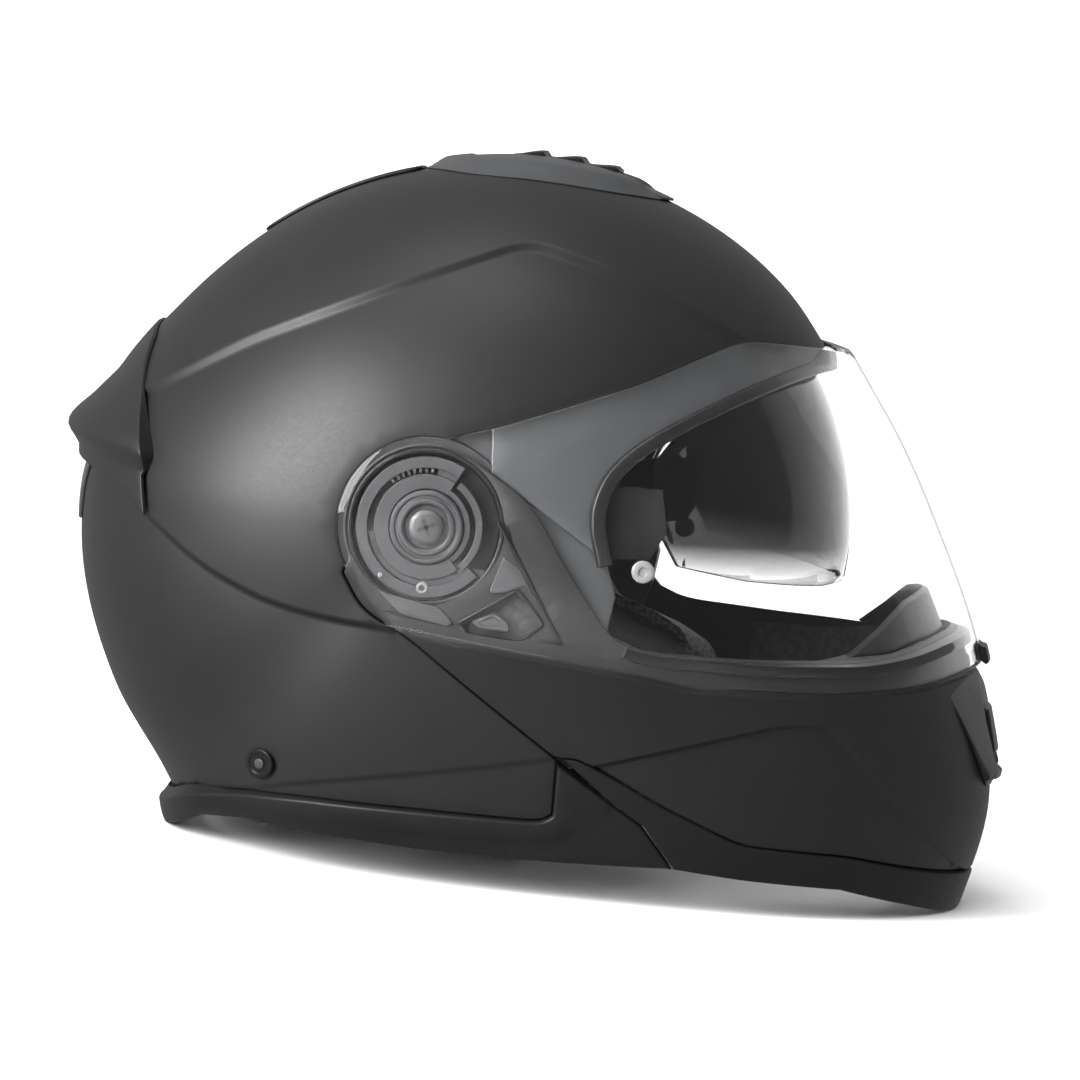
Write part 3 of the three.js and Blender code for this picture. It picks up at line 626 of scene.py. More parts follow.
def grain(tree, scale, detail=3.0, roughness=0.55):
    where = node(tree, "ShaderNodeTexCoord")
    noise = node(tree, "ShaderNodeTexNoise", Scale=scale, Detail=detail, Roughness=roughness)
    tree.links.new(where.outputs["Object"], noise.inputs["Vector"])
    return noise.outputs["Fac"]


def spread(tree, source, low, high):
    r = node(tree, "ShaderNodeMapRange")
    r.inputs["From Min"].default_value = 0.3
    r.inputs["From Max"].default_value = 0.7
    r.inputs["To Min"].default_value = low
    r.inputs["To Max"].default_value = high
    tree.links.new(source, r.inputs["Value"])
    return r.outputs["Result"]


def tone(tree, shader, source, dark, light):
    r = node(tree, "ShaderNodeValToRGB")
    r.color_ramp.elements[0].position = 0.3
    r.color_ramp.elements[1].position = 0.7
    r.color_ramp.elements[0].color = (*dark, 1)
    r.color_ramp.elements[1].color = (*light, 1)
    tree.links.new(source, r.inputs["Fac"])
    tree.links.new(r.outputs["Color"], shader.inputs["Base Color"])


def bump(tree, shader, source, height, strength=1.0):
    b = node(tree, "ShaderNodeBump", Strength=strength, Distance=height * MM)
    tree.links.new(source, b.inputs["Height"])
    tree.links.new(b.outputs["Normal"], shader.inputs["Normal"])


def coated(name, dark, light, rough, fine, height, broad=18.0, **sockets):
    """A moulded or painted surface: broad tone variation, fine grain in its roughness and its relief."""
    m, tree, shader = new_material(name, light, rough[0], **sockets)
    tone(tree, shader, grain(tree, broad), dark, light)
    tree.links.new(spread(tree, grain(tree, fine * 0.4), *rough), shader.inputs["Roughness"])
    bump(tree, shader, grain(tree, fine, 2.0), height)
    return m


def knitted(name, dark, light, cells, height, rough=0.85):
    """A knit or mesh: small cells in rows, with a soft broad tone."""
    m, tree, shader = new_material(name, light, rough, Sheen_Weight=0.25, Sheen_Roughness=0.4)
    where = node(tree, "ShaderNodeTexCoord")
    cell = node(tree, "ShaderNodeTexVoronoi", Scale=cells, Randomness=0.35)
    tree.links.new(where.outputs["Object"], cell.inputs["Vector"])
    tone(tree, shader, cell.outputs["Distance"], light, dark)
    bump(tree, shader, cell.outputs["Distance"], -height)
    return m


paint = coated("matte_paint", (0.005, 0.0051, 0.0056), (0.0064, 0.0066, 0.0072), (0.44, 0.5), 2600, 0.008,
               Specular_IOR_Level=0.34)
trim_look = coated("edge_trim", (0.004, 0.004, 0.0044), (0.006, 0.006, 0.0064), (0.44, 0.52), 1500, 0.02,
                   Specular_IOR_Level=0.22)
vent_look = coated("vent_grey", (0.018, 0.019, 0.02), (0.026, 0.027, 0.029), (0.38, 0.46), 1800, 0.015)
dark_look = coated("satin_black", (0.003, 0.003, 0.0034), (0.005, 0.005, 0.0056), (0.32, 0.4), 1700, 0.008,
                   Specular_IOR_Level=0.22)
bay_look = coated("mechanism_grey", (0.016, 0.016, 0.0175), (0.025, 0.025, 0.027), (0.28, 0.34), 1500,
                  0.002, Specular_IOR_Level=0.5)
# painted shade: a near-black finish laid in hollows (the shell's hinge well, the screw's cross recess) where
# shade falls
hollow_shade_look = coated("painted_hollow_shade", (0.002, 0.002, 0.002), (0.004, 0.004, 0.004), (0.6, 0.7), 900, 0.05)
rubber_look = coated("seal_rubber", (0.003, 0.003, 0.0033), (0.006, 0.006, 0.0066), (0.3, 0.4), 1200, 0.01,
                     Specular_IOR_Level=0.26)
steel_look = coated("zinc_steel", (0.34, 0.35, 0.37), (0.52, 0.53, 0.55), (0.28, 0.42), 900, 0.02,
                    metallic=1.0)
knit_look = knitted("brushed_knit", (0.012, 0.012, 0.014), (0.03, 0.031, 0.034), 900, 0.25)
mesh_look = knitted("net_mesh", (0.006, 0.006, 0.007), (0.06, 0.062, 0.066), 420, 0.6, 0.7)


def beaded_foam():
    m, tree, shader = new_material("beaded_foam", (0.014, 0.014, 0.015), 0.75)
    where = node(tree, "ShaderNodeTexCoord")
    cell = node(tree, "ShaderNodeTexVoronoi", Scale=260.0)
    tree.links.new(where.outputs["Object"], cell.inputs["Vector"])
    tone(tree, shader, cell.outputs["Distance"], (0.02, 0.02, 0.022), (0.008, 0.008, 0.009))
    bump(tree, shader, cell.outputs["Distance"], -0.3)
    return m


foam_look = beaded_foam()


def woven_webbing():
    m, tree, shader = new_material("webbing", (0.012, 0.012, 0.013), 0.7, Sheen_Weight=0.2,
                                   Sheen_Roughness=0.4)
    where = node(tree, "ShaderNodeTexCoord")
    bands = []
    for way in ("X", "Z"):
        wave = node(tree, "ShaderNodeTexWave", Scale=330.0, Distortion=0.6)
        wave.bands_direction = way
        tree.links.new(where.outputs["Object"], wave.inputs["Vector"])
        bands.append(wave.outputs["Fac"])
    product = node(tree, "ShaderNodeMath", operation="MULTIPLY")
    tree.links.new(bands[0], product.inputs[0])
    tree.links.new(bands[1], product.inputs[1])
    tone(tree, shader, product.outputs[0], (0.007, 0.007, 0.008), (0.022, 0.022, 0.024))
    bump(tree, shader, product.outputs[0], 0.3)
    return m


webbing_look = woven_webbing()


def lens(name, colours, heights, roughness):
    """A transparent moulding, tinted by height, with painted shade darkening its colour towards its
    silhouette.
    """
    m, tree, shader = new_material(
        name, colours[-1], roughness, IOR=1.25, Transmission_Weight=1.0, Specular_IOR_Level=0.5
    )
    where = node(tree, "ShaderNodeTexCoord")
    split = node(tree, "ShaderNodeSeparateXYZ")
    tree.links.new(where.outputs["Object"], split.inputs[0])
    share = node(tree, "ShaderNodeMapRange")
    share.inputs["From Min"].default_value = heights[0] * MM
    share.inputs["From Max"].default_value = heights[1] * MM
    tree.links.new(split.outputs["Z"], share.inputs["Value"])
    mix = node(tree, "ShaderNodeValToRGB")
    mix.color_ramp.elements[0].color = (*colours[0], 1)
    mix.color_ramp.elements[1].color = (*colours[1], 1)
    tree.links.new(share.outputs["Result"], mix.inputs["Fac"])
    # painted shade: the colour turns dark grey where the surface turns away from view, standing in for the
    # dark edge line of the lens
    slant = node(tree, "ShaderNodeLayerWeight", Blend=0.5)
    rim = node(tree, "ShaderNodeMapRange")
    rim.inputs["From Min"].default_value = 0.9
    rim.inputs["From Max"].default_value = 1.0
    tree.links.new(slant.outputs["Facing"], rim.inputs["Value"])
    painted_edge_shade = node(tree, "ShaderNodeMix", data_type="RGBA")
    painted_edge_shade.inputs[7].default_value = (0.04, 0.04, 0.04, 1)
    tree.links.new(rim.outputs["Result"], painted_edge_shade.inputs[0])
    tree.links.new(mix.outputs["Color"], painted_edge_shade.inputs[6])
    tree.links.new(painted_edge_shade.outputs[2], shader.inputs["Base Color"])
    return m


clear_look = lens("clear_visor", ((0.985, 0.987, 0.985), (0.99, 0.992, 0.99)), (80, 210), 0.0)
smoke_look = lens("smoked_visor", ((0.66, 0.65, 0.65), (0.045, 0.044, 0.045)), (119, 130), 0.0)
pin_look = coated("clear_pin", (0.07, 0.07, 0.07), (0.11, 0.11, 0.11), (0.2, 0.3), 900, 0.004)

# ---------------------------------------------------------------- shell
SEAM = soft([(-58, 109), (-51, 98), (-41, 92.5), (-33, 89), (-9, 73), (22, 52.5)], 9)
SEAM_LOW = [(22, 52.5), (44, 37.5), (56, 30), (68, 15.2)]
SEAT_FRONT = [(150, 200), (106, 200.5), (90, 202.5), (70, 203), (54, 194.5), (38, 185.5), (11, 174),
              (-9, 166)]
SEAT_EDGE = soft(SEAT_FRONT, 7) + arc(HINGE, 32, 84, 210, 24)
EYE_UPPER = soft([(150, 196), (103, 195), (92, 191), (73, 181), (60, 173), (45, 163), (35, 153),
                  (31.5, 142), (32, 134), (36, 122)], 9,)
TRIM_TOP = soft([(-150, 6), (-127.5, 11), (-118, 17), (-89, 23.5), (-67, 25.5), (-30, 27), (20, 28.2),
                 (24, 31)], 6)
CREASE_UP = soft([(-160, 156), (-142.4, 164.3), (-104.5, 187.3), (-51.6, 212.9), (-8.2, 232.6),
                  (17.8, 226.4), (47.6, 215.8), (69.8, 205.3), (84, 196)], 9)
CREASE_LOW = soft([(-190, 140), (-153.4, 130.2), (-135, 118.9), (-111.7, 105.2), (-87.6, 96.5),
                   (-64.9, 93.1), (-41, 92.2), (-30, 92)], 9)
CREASE_BOTTOM = soft([(-126, 15), (-114.2, 18.9), (-67.8, 31.7), (-31.1, 40.1), (-2.9, 46.1),
                      (22.5, 52.2)], 9)
FAR, HIGH = -260, 320


def side_of(form, q):
    return form.place(q)[:, [0, 2]]


def step_down(side, line, depth, width, fade):
    """A step along a line: level on its left, down on its right, easing back to level."""
    d = -signed_distance(side, line)
    return -depth * ramp(d, 0, width) * np.exp(-np.maximum(d - width, 0) / fade)


def shell_relief(q):
    side = side_of(base, q)
    upper = step_down(side, CREASE_UP, 1.7, 2.4, 60)
    lower = step_down(side, CREASE_LOW, 2.2, 2.6, 26)
    bottom = step_down(side, CREASE_BOTTOM, 0.8, 2.2, 22)
    return upper + lower + bottom


def crease_lines(form, line, distances):
    out = []
    for d in distances:
        side = dense(shifted(line, d), TRACE_STEP, False)
        q, share = form.flatten(side)
        out.append(q[share < 0.999])
    return out


shell_lines = [
    q
    for line, far in ((CREASE_UP, 2.4), (CREASE_LOW, 2.6), (CREASE_BOTTOM, 2.2))
    for q in crease_lines(base, line, (0.7, 0, -0.35 * far, -0.7 * far, -far, -far - 1))
]
skin_outline = trace(
    base,
    SEAT_EDGE + shifted(SEAM, -0.3) + [(24, 50)] + TRIM_TOP[::-1] + [(FAR, 6), (FAR, HIGH), (150, HIGH)],
)
panel("shell_skin", base, skin_outline, shell_relief, lambda q: shell_relief(q) - SHELL_WALL, paint,
      "shell", "painted_shell", ["outer_shell"], edge=0.9, lines=shell_lines)
seat_outline = trace(base, shifted(SEAT_EDGE[:-25], -5) + [(-9, 150)] + EYE_UPPER[::-1])
panel("shell_seat", base, seat_outline, -2.5, -4.5, vent_look, "shell", "painted_shell", edge=0.7)
ARM_FLOOR = (
    [(-16, 170)] + arc(HINGE, 36, 84, 215, 24) + shifted(SEAM, -5)[4:]
    + [(24, 54.5), (31, 55), (48, 48.5), (57, 45.5), (58, 54), (50, 62), (38, 72), (34, 84), (38, 96),
       (40, 110), (36, 122), (32, 134), (32, 145), (16, 160)]
)
panel("shell_arm_floor", base, trace(base, ARM_FLOOR), -4.9, -7.6, vent_look, "shell", "painted_shell",
      edge=0.6, holes=[trace(base, arc(HINGE, POCKET_RADIUS, 0, 356, 89))])
# the hinge well is coloured near black as painted shade under the mechanism
pocket = turned([(POCKET_RADIUS, 124.4), (POCKET_RADIUS, 118.6), (0, 118.6), (0, 116), (31.6, 116),
                 (31.6, 124.4)])
add_pair("shell_pocket", *pocket, hollow_shade_look, "shell", "painted_shell", bevel=0.4)

# Gasket round the eye opening
gasket = shifted(EYE_UPPER, 0.4) + shifted(EYE_UPPER, -4.6)[::-1]
panel("brow_gasket", base, trace(base, gasket), 0.35, -2.1, rubber_look, "shell", "seal_rubber",
      ["brow_seal"], edge=1.1, spacing=2.2)

# Rubber edge trim with its turned-out neck edge
SHELL_BOTTOM = [(-150, 0), (-126, 0), (-108, 9.5), (-91, 12.6), (-14, 12.6), (28, 13.5)]
trim_outline = shifted(TRIM_TOP, -0.35) + [(24.4, 49.5)] + shifted(SEAM_LOW, -0.3)[1:] + SHELL_BOTTOM[::-1]


def trim_relief(q):
    side = side_of(trim_form, q)
    lowered = 0.9 * ramp(-signed_distance(side, shifted(TRIM_TOP, -7)), 0, 2)
    return 0.7 - lowered * ramp(side[:, 0], -128, -100)


panel("shell_edge_trim", trim_form, trace(trim_form, trim_outline), trim_relief, -5, trim_look, "shell",
      "trim", ["lower_trim"], edge=1.1, spacing=2.8,
      lines=crease_lines(trim_form, shifted(TRIM_TOP, -7), (0, -1, -2)))

# ---------------------------------------------------------------- chin bar
VISOR_BOTTOM = soft([(-40, 93), (-11, 90.3), (17, 88), (53, 85), (68, 82.3), (120, 83.3), (147, 86.6),
                     (166, 92), (190, 97)], 8)
ARM_TOP = arc(HINGE, 29, 205, 60, 30) + soft([(-15.5, 153.6), (3, 143), (11, 134), (18.5, 122.5),
                                              (33.5, 102.5), (40, 96)], 6)[1:]
CHIN_TOP = soft([(40, 96), (48, 93), (56, 92), (88, 92), (126, 93.5), (141, 96.5), (156, 103),
                 (190, 112)], 6)[1:]
CHIN_TRIM_TOP = soft([(26, 52), (31, 52.5), (47, 45.5), (61, 38.5), (91, 26), (129, 23.5), (200, 9)], 6)
CHIN_BOTTOM = [(92, 13.3), (127, 11.3), (150, 5.5), (167, 0), (200, 0)]
CHIN_CREASE = soft([(32.3, 49.2), (73.2, 62.4), (100.2, 70.9), (112.3, 72.3), (121.5, 68.1), (133.3, 55.8),
                    (149.1, 39.4), (174.9, 13.2), (186, 2)], 7)
BAY = (
    arc(HINGE, 28.4, 214, 24, 40)
    + soft([(-4.5, 133.5), (4.2, 120.7), (17.7, 99.1), (22, 92.6)], 5)[1:]
    + [(-9, 93.6), (-38, 97)]
)
LEDGE = shifted(VISOR_BOTTOM, -1.3)


def chin_relief(q):
    side = side_of(base, q)
    ahead = ramp(side[:, 0], -34, 10)
    lowered = -0.4 * ramp(signed_distance(side, LEDGE), -0.4, 0.2)
    ledge = -ahead * step_down(side, LEDGE, 2.1, 1.2, 14)
    crease = step_down(side, CHIN_CREASE, 1.5, 2, 18)
    bay = np.where(inside(side, np.array(BAY)), -1.2, 0.0)
    return lowered + ledge + crease + bay


def chin_inner(q):
    side = side_of(base, q)
    rho = np.hypot(*(side - HINGE).T)
    return -1.9 - 1.3 * ramp(rho, 48, 78)


chin_outline = trace(
    base, ARM_TOP + CHIN_TOP + [(240, 60)] + CHIN_TRIM_TOP[::-1] + shifted(SEAM, 0.3)[::-1]
)
LEVER_POCKET = [(-15, 96.5), (-2, 105.5), (5, 110.5), (15.5, 98.5), (7.5, 92), (-12, 93)]
chin_lines = (
    crease_lines(base, LEDGE, (0.6, 0, -0.6, -1.2, -2.2))
    + crease_lines(base, CHIN_CREASE, (0.8, 0, -1, -2, -3))
    + crease_lines(base, BAY, (-0.5, 0.5))
)
panel("chin_skin", base, chin_outline, chin_relief, chin_inner, paint, "chin_bar", "painted_shell",
      ["chin_bar"], edge=0.6, spacing=3.0, lines=chin_lines,
      holes=[trace(base, arc(HINGE, BORE_RADIUS, 0, 356, 89)), trace(base, rounded(LEVER_POCKET, 2))])
cup = turned([(27.8, 119.4), (27.8, 126.6), (27.4, 127), (26.6, 127), (26.1, 126.4), (25.8, 121.4),
              (9.4, 121.4), (9.4, 119.4)])
add_pair("hinge_cup", *cup, dark_look, "chin_bar", "painted_shell", bevel=0.2)
chin_trim_outline = shifted(CHIN_TRIM_TOP, -0.35)[::-1] + shifted(SEAM_LOW, 0.3)[1:] + CHIN_BOTTOM
panel("chin_edge_trim", base, trace(base, chin_trim_outline), 0.6, -3.8, trim_look, "chin_bar", "trim",
      ["chin_lower_trim"], edge=0.9, spacing=2.8)

CHIN_FOAM = [(92, 84), (126, 86), (150, 92), (190, 96), (190, 30), (129, 32), (104, 37), (94, 46), (90, 66)]
panel("chin_foam", base, trace(base, rounded(CHIN_FOAM, 8)), -4.2, -23.6, foam_look, "chin_bar",
      "foam", ["chin_liner"], edge=4, spacing=4)
GUARD = [(127, 93.5), (137, 103), (146, 113), (152, 116), (164, 112), (164, 100), (152, 99), (142, 95)]
panel("chin_breath_guard", base, trace(base, GUARD), -6.8, -9.2, rubber_look, "chin_bar", "seal_rubber",
      ["breath_guard"], edge=0.8, spacing=2.4)


def seal_top(q):
    theta = np.degrees(np.arctan2(q[:, 1], q[:, 0]))
    return visor_radius(theta) - base_radius(theta) + 0.55


seal_route = [p for p in CHIN_TOP if p[0] > 44]
seal_outline = trace(base, shifted(seal_route, -0.4) + shifted(seal_route, -4.2)[::-1])
panel("chin_seal", base, seal_outline, seal_top, -0.35, rubber_look, "chin_bar",
      "seal_rubber", ["visor_lower_seal"], edge=0.35, spacing=2.2)

# ---------------------------------------------------------------- visor
visor_outline = shifted(SEAT_EDGE[:-25], 0.6) + arc(HINGE, 31.4, 84, 215, 26) + VISOR_BOTTOM
clear_visor = panel("clear_visor", visor_form, trace(visor_form, visor_outline), VISOR_OUTER, VISOR_INNER,
                    clear_look, "visor", "clear_lens", ["visor"], edge=0.7, spacing=3.6)
clear_visor.visible_shadow = False
tab = front_trace(visor_form, [(0, 92.6), (13, 92.6), (12, 96), (10.6, 98.6), (0, 99)], VISOR_OUTER)
panel("visor_lift_tab", visor_form, tab, 6.6, 3.2, dark_look, "visor", "dark_plastic", ["visor_tab"],
      edge=1.2, spacing=2)
pin_at = np.array([47.0, 120.5])
pin_reach = -visor_form.place(visor_form.flatten(pin_at[None], VISOR_INNER)[0], VISOR_INNER)[0, 1]
pin = turned([(0, pin_reach - 5), (2.6, pin_reach - 5), (3, pin_reach - 3.4), (4, pin_reach - 3.2),
              (4, pin_reach - 2), (3.2, pin_reach - 1.6), (1.7, pin_reach - 1.7), (1.2, pin_reach - 2.5),
              (0, pin_reach - 2.5)], pin_at, 40)
add_pair("insert_pin_cap", *pin, pin_look, "visor", "dark_plastic", ["insert_pin_{side}"], bevel=0.15)

# ---------------------------------------------------------------- side mechanism
post = turned([(0, 119), (9, 119), (9, 123.8), (0, 123.8)], segments=64)
add_pair("post", *post, bay_look, "shell", "dark_plastic", ["pivot_post_{side}"], bevel=0.3)
plate = turned([(9.4, 121.7), (25.4, 121.7), (25.4, 123), (19, 123), (18.6, 123.2), (9.4, 123.2)])
add_pair("base_disc", *plate, dark_look, "chin_bar", "steel", ["base_plate_{side}"], bevel=0.15)
ring_parts = [
    sector(20.9, 24.9, 62, 322, 123.5, 126.3),
    sector(13.4, 18.6, 62, 312, 123.6, 125.4),
    sector(13.4, 15.4, -48, 62, 123.6, 125.4),
    sector(17.4, 19.9, -44, 58, 123.6, 125.9),
    sector(18.6, 20.9, 190, 322, 123.6, 124.6),
    sector(18.6, 20.9, 62, 84, 123.6, 124.9),
]
ring_parts += [sector(19.2, 21.2, a, a + 3.2, 123.6, 125.8) for a in range(88, 136, 6)]
add_pair("visor_ratchet", *merged(*ring_parts), bay_look, "visor", "dark_plastic", ["visor_ring_{side}"],
         bevel=0.25)
hub = turned([(0, 124.3), (13, 124.3), (13, 126.2), (12.3, 126.8), (11.4, 126.8), (11, 126.3),
              (10.4, 126.3), (9.8, 127), (8.8, 127.1), (7.9, 126.4), (7.6, 125.3), (0, 125.3)])
add_pair("hub_cap", *hub, bay_look, "shell", "dark_plastic", ["pivot_hub_{side}"], bevel=0.12)
screw = turned([(0, 125.4), (6.1, 125.4), (6.2, 126.8), (5.4, 127.5), (4.3, 127.8), (0, 127.9)],
               segments=72)
add_pair("hub_screw", *screw, vent_look, "shell", "steel", ["pivot_screw_{side}"], bevel=0.12)
# a thin near-black cross laid on the screw head: painted shade standing for its cross recess
CROSS_BAR = [(-1, -0.5), (-0.8, -1), (0.8, -1), (1, -0.5), (1, 0.5), (0.8, 1), (-0.8, 1), (-1, 0.5)]
CROSS_LENGTH, CROSS_WIDTH = 3.3, 0.62
cross = []
for a in (26, 116):
    t = math.radians(a)
    along, side = np.array([math.cos(t), math.sin(t)]), np.array([-math.sin(t), math.cos(t)])
    bar = [HINGE + along * u * CROSS_LENGTH + side * v * CROSS_WIDTH for u, v in CROSS_BAR]
    cross.append(prism(bar, 127.5, 128.0))
add_pair("screw_cross", *merged(*cross), hollow_shade_look, "shell", "steel")
TUBE_RIVET = [(0, 123.6), (2.3, 123.6), (2.3, 126.2), (1.7, 126.7), (1.1, 126.6), (0.8, 126), (0, 126)]
PLAIN_RIVET = [(0, 123.6), (1, 123.6), (1, 126.6), (0.6, 126.9), (0, 126.9)]
small_screws = []
for a, r, profile in ((-88, 21.6, TUBE_RIVET), (232, 23.4, PLAIN_RIVET)):
    t = math.radians(a)
    centre = HINGE + r * np.array([math.cos(t), math.sin(t)])
    small_screws.append(turned(profile, centre, 32))
add_pair("ring_rivets", *merged(*small_screws), pin_look, "visor", "steel", bevel=0.12)

LEVER = [(-10.4, 97.2), (-3, 101.2), (2.4, 98.2), (2.8, 95), (-7.8, 95.3)]
LEVER_INSIDE = [(-8, 97.3), (-3.2, 99.7), (0.9, 97.5), (1.2, 96.1), (-6.9, 96.4)]
lever_face = trace(base, rounded(LEVER, 1.4), step=FINE_STEP)
lever = panel_mesh(base, lever_face, -0.7, -2.8, edge=0.4, spacing=1.8)
lever_hole = trace(base, rounded(LEVER_INSIDE, 0.8), step=FINE_STEP)
lever_lip = panel_mesh(base, lever_face, -0.2, -0.8, edge=0.25, spacing=1.8, holes=[lever_hole])
add_pair("release_lever", *merged(lever, lever_lip), bay_look, "visor_lever_{side}", "dark_plastic",
         ["visor_lever_{side}"])
BAY_PLATES = [
    [(-49, 108), (-40, 103.5), (-22, 100.5), (-17, 96), (-19, 94.6), (-36, 97)],
    [(-1.5, 121), (4.5, 117.8), (12, 105.5), (7, 112), (0, 108.6), (-5.5, 107.6), (-4, 113)],
]
plates = [panel_mesh(base, trace(base, rounded(p, 1.6), step=FINE_STEP), -0.9, -1.7, edge=0.3, spacing=2)
          for p in BAY_PLATES]
add_pair("bay_plates", *merged(*plates), bay_look, "chin_bar", "dark_plastic")
RAIL = soft([(-4.5, 133.5), (4.2, 120.7), (17.7, 99.1), (22, 92.6)], 5)
rail = panel_mesh(base, trace(base, shifted(RAIL, 0.2) + shifted(RAIL, -1.1)[::-1], step=FINE_STEP), 0.1,
                  -1.5, edge=0.3, spacing=1.6)
RIM_INSIDE = [(-14, 96.5), (-2, 104.8), (4.9, 109.5), (14.5, 98.6), (7.2, 92.5), (-11.7, 93.5)]
pocket_rim = panel_mesh(
    base,
    trace(base, rounded(LEVER_POCKET, 2), step=FINE_STEP),
    -0.75, -1.6, edge=0.25, spacing=1.6,
    holes=[trace(base, rounded(RIM_INSIDE, 1.5), step=FINE_STEP)],
)
add_pair("bay_rail", *merged(rail, pocket_rim), dark_look, "chin_bar", "dark_plastic")

# ---------------------------------------------------------------- sun visor
SUN_LOW = [(46, 158), (47, 143), (51, 133), (58, 122), (82, 118), (108, 116)]
SUN_HIGH = [(140, 196), (96, 208), (84, 210), (60, 180), (46, 158)]
sun_low = sun_form.flatten(dense(SUN_LOW, TRACE_STEP, False))[0]
nose = front_trace(sun_form, [(12.5, 116), (10.6, 121), (7, 126.4), (3, 129.2), (0, 129.8)], step=FINE_STEP)
sun_high, top_share = sun_form.flatten(dense(SUN_HIGH, TRACE_STEP, False))
sun_high = np.vstack([sun_form.snap(sun_high[top_share >= 1]), sun_high[top_share < 1]])
sun_outline = np.vstack([sun_low, nose, sun_high[:-1]])
smoked_visor = panel("smoked_visor", sun_form, sun_outline, 0, -SUN_LENS, smoke_look, "sun_visor",
                     "smoke_lens", ["sun_visor"], edge=0.5, spacing=3.2)
smoked_visor.visible_shadow = False

# ---------------------------------------------------------------- vents and spoiler
VENT_PLAN = [(36, 0), (35, 8), (30, 21), (19, 33), (8, 38.5), (-6, 41.2), (-24, 40.4), (-38, 34.5),
             (-48, 23.5), (-55, 11), (-57, 0)]
vent_q = plan_trace(base, soft(VENT_PLAN, 6))


def vent_rise(q):
    p = base.place(q)
    edge_gap = np.min(np.hypot(q[:, None, 0] - vent_q[None, :, 0], q[:, None, 1] - vent_q[None, :, 1]),
                      axis=1)
    lift = 0.5 + 3.2 * ramp(edge_gap, 0, 9)
    channel = ramp(14.5 - np.abs(p[:, 1]), 0, 1.6) * ramp(p[:, 0], -40, -36)
    return lift - channel * (lift - 1.5)


vent_lines = []
for half in (12.9, 14.5):
    vent_lines.append(plan_points(base, [(x, half) for x in np.arange(-40, 30, TRACE_STEP)]))
panel("top_vent", base, vent_q, vent_rise, 0.35, vent_look, "shell", "vent_plastic", ["top_vent_housing"],
      edge=0.35, spacing=2.2, lines=vent_lines)


RIDGE_STEP = 13.7  # from ridge to ridge along the shutter


def slider_rise(q):
    x = base.place(q)[:, 0]
    share = np.mod(x + 25, RIDGE_STEP) / RIDGE_STEP
    return 3.2 + 1.9 * ramp(share, 0.05, 0.85) - 1.9 * ramp(share, 0.86, 0.97)


slider = plan_trace(base, [(16, 0), (15, 12.2), (-24, 12.6), (-25, 0)])
slider_lines = []
for x in (-24.6, -13.2, -11.7, -11.2, 0.5, 2, 2.5):
    slider_lines.append(plan_points(base, [(x, y) for y in np.arange(0.5, 12, TRACE_STEP)]))
panel("top_vent_shutter", base, slider, slider_rise, 1.95, dark_look, "top_vent_slider", "dark_plastic",
      ["top_vent_slider"], edge=0.5, spacing=1.9, lines=slider_lines)
spine = plan_trace(base, soft([(-57.6, 0), (-57, 13), (-75, 12), (-98, 9), (-112, 4), (-114, 0)], 5))
panel("top_spine", base, spine, 1.5, 0.2, dark_look, "shell", "vent_plastic", edge=0.6, spacing=2.6)

SPOILER = [(-151, 190), (-146, 181), (-145.5, 164), (-143, 152), (-139, 138), (-135, 119), (-153, 130),
           (-200, 140), (-200, 190)]


def spoiler_inner(q):
    theta = np.degrees(np.arctan2(q[:, 1], q[:, 0]))
    return base_radius(theta) - spoiler_radius(theta) + 0.35


panel("spoiler", spoiler_form, trace(spoiler_form, SPOILER),
      lambda q: np.maximum(0, spoiler_inner(q) + 1.3), spoiler_inner, paint, "shell", "painted_shell",
      ["rear_spoiler"], edge=0.45, spacing=2.4)
grille = rear_points(base, dense([(0, 110), (28, 110), (34, 131), (0, 131)], TRACE_STEP, False))


def slot_outline(y0, y1, z0, z1):
    return rear_points(base, dense([(y0, z0), (y1, z0), (y1, z1), (y0, z1)], 1.6))


slots = [slot_outline(y, y + 6.4, 114, 127.5) for y in (2.2, 11, 19.8)]
panel("rear_grille", base, grille, lambda q: shell_relief(q) + 1.2, lambda q: shell_relief(q) + 0.1,
      vent_look, "shell", "vent_plastic", ["rear_vent_grille"], edge=0.45, spacing=2.2, holes=slots)

chin_vent = front_trace(base, soft([(0, 47.2), (19, 47.2), (30, 58), (48, 84), (30, 90), (0, 90)], 4))


def chin_vent_rise(q):
    p = base.place(q)
    z, y = p[:, 2], np.abs(p[:, 1])
    lift = np.interp(z, [47, 50, 52, 55, 62, 70, 84, 88, 90], [0.9, 1.6, 5, 6, 4.7, 3.9, 3.8, 2.6, 1.3])
    return 0.7 + (lift - 0.7) * np.interp(y, [0, 18, 30, 48], [1, 1, 0.55, 0.2])


WELL_LOW, WELL_HIGH, WELL_HALF = 53.5, 78, 18.4  # the well that the shutter slides in


def vent_floor_rise(q):
    p = base.place(q)
    z, y = p[:, 2], np.abs(p[:, 1])
    well = ramp(WELL_HIGH - z, 0, 1) * ramp(z - WELL_LOW, 0, 1) * ramp(WELL_HALF - y, 0, 1)
    lift = chin_vent_rise(q)
    bars = np.where(z < 60, 0.5 * (np.mod(z, 3.4) < 1.5), 0)
    return lift - well * np.maximum(lift - 1.5 - bars, 0)


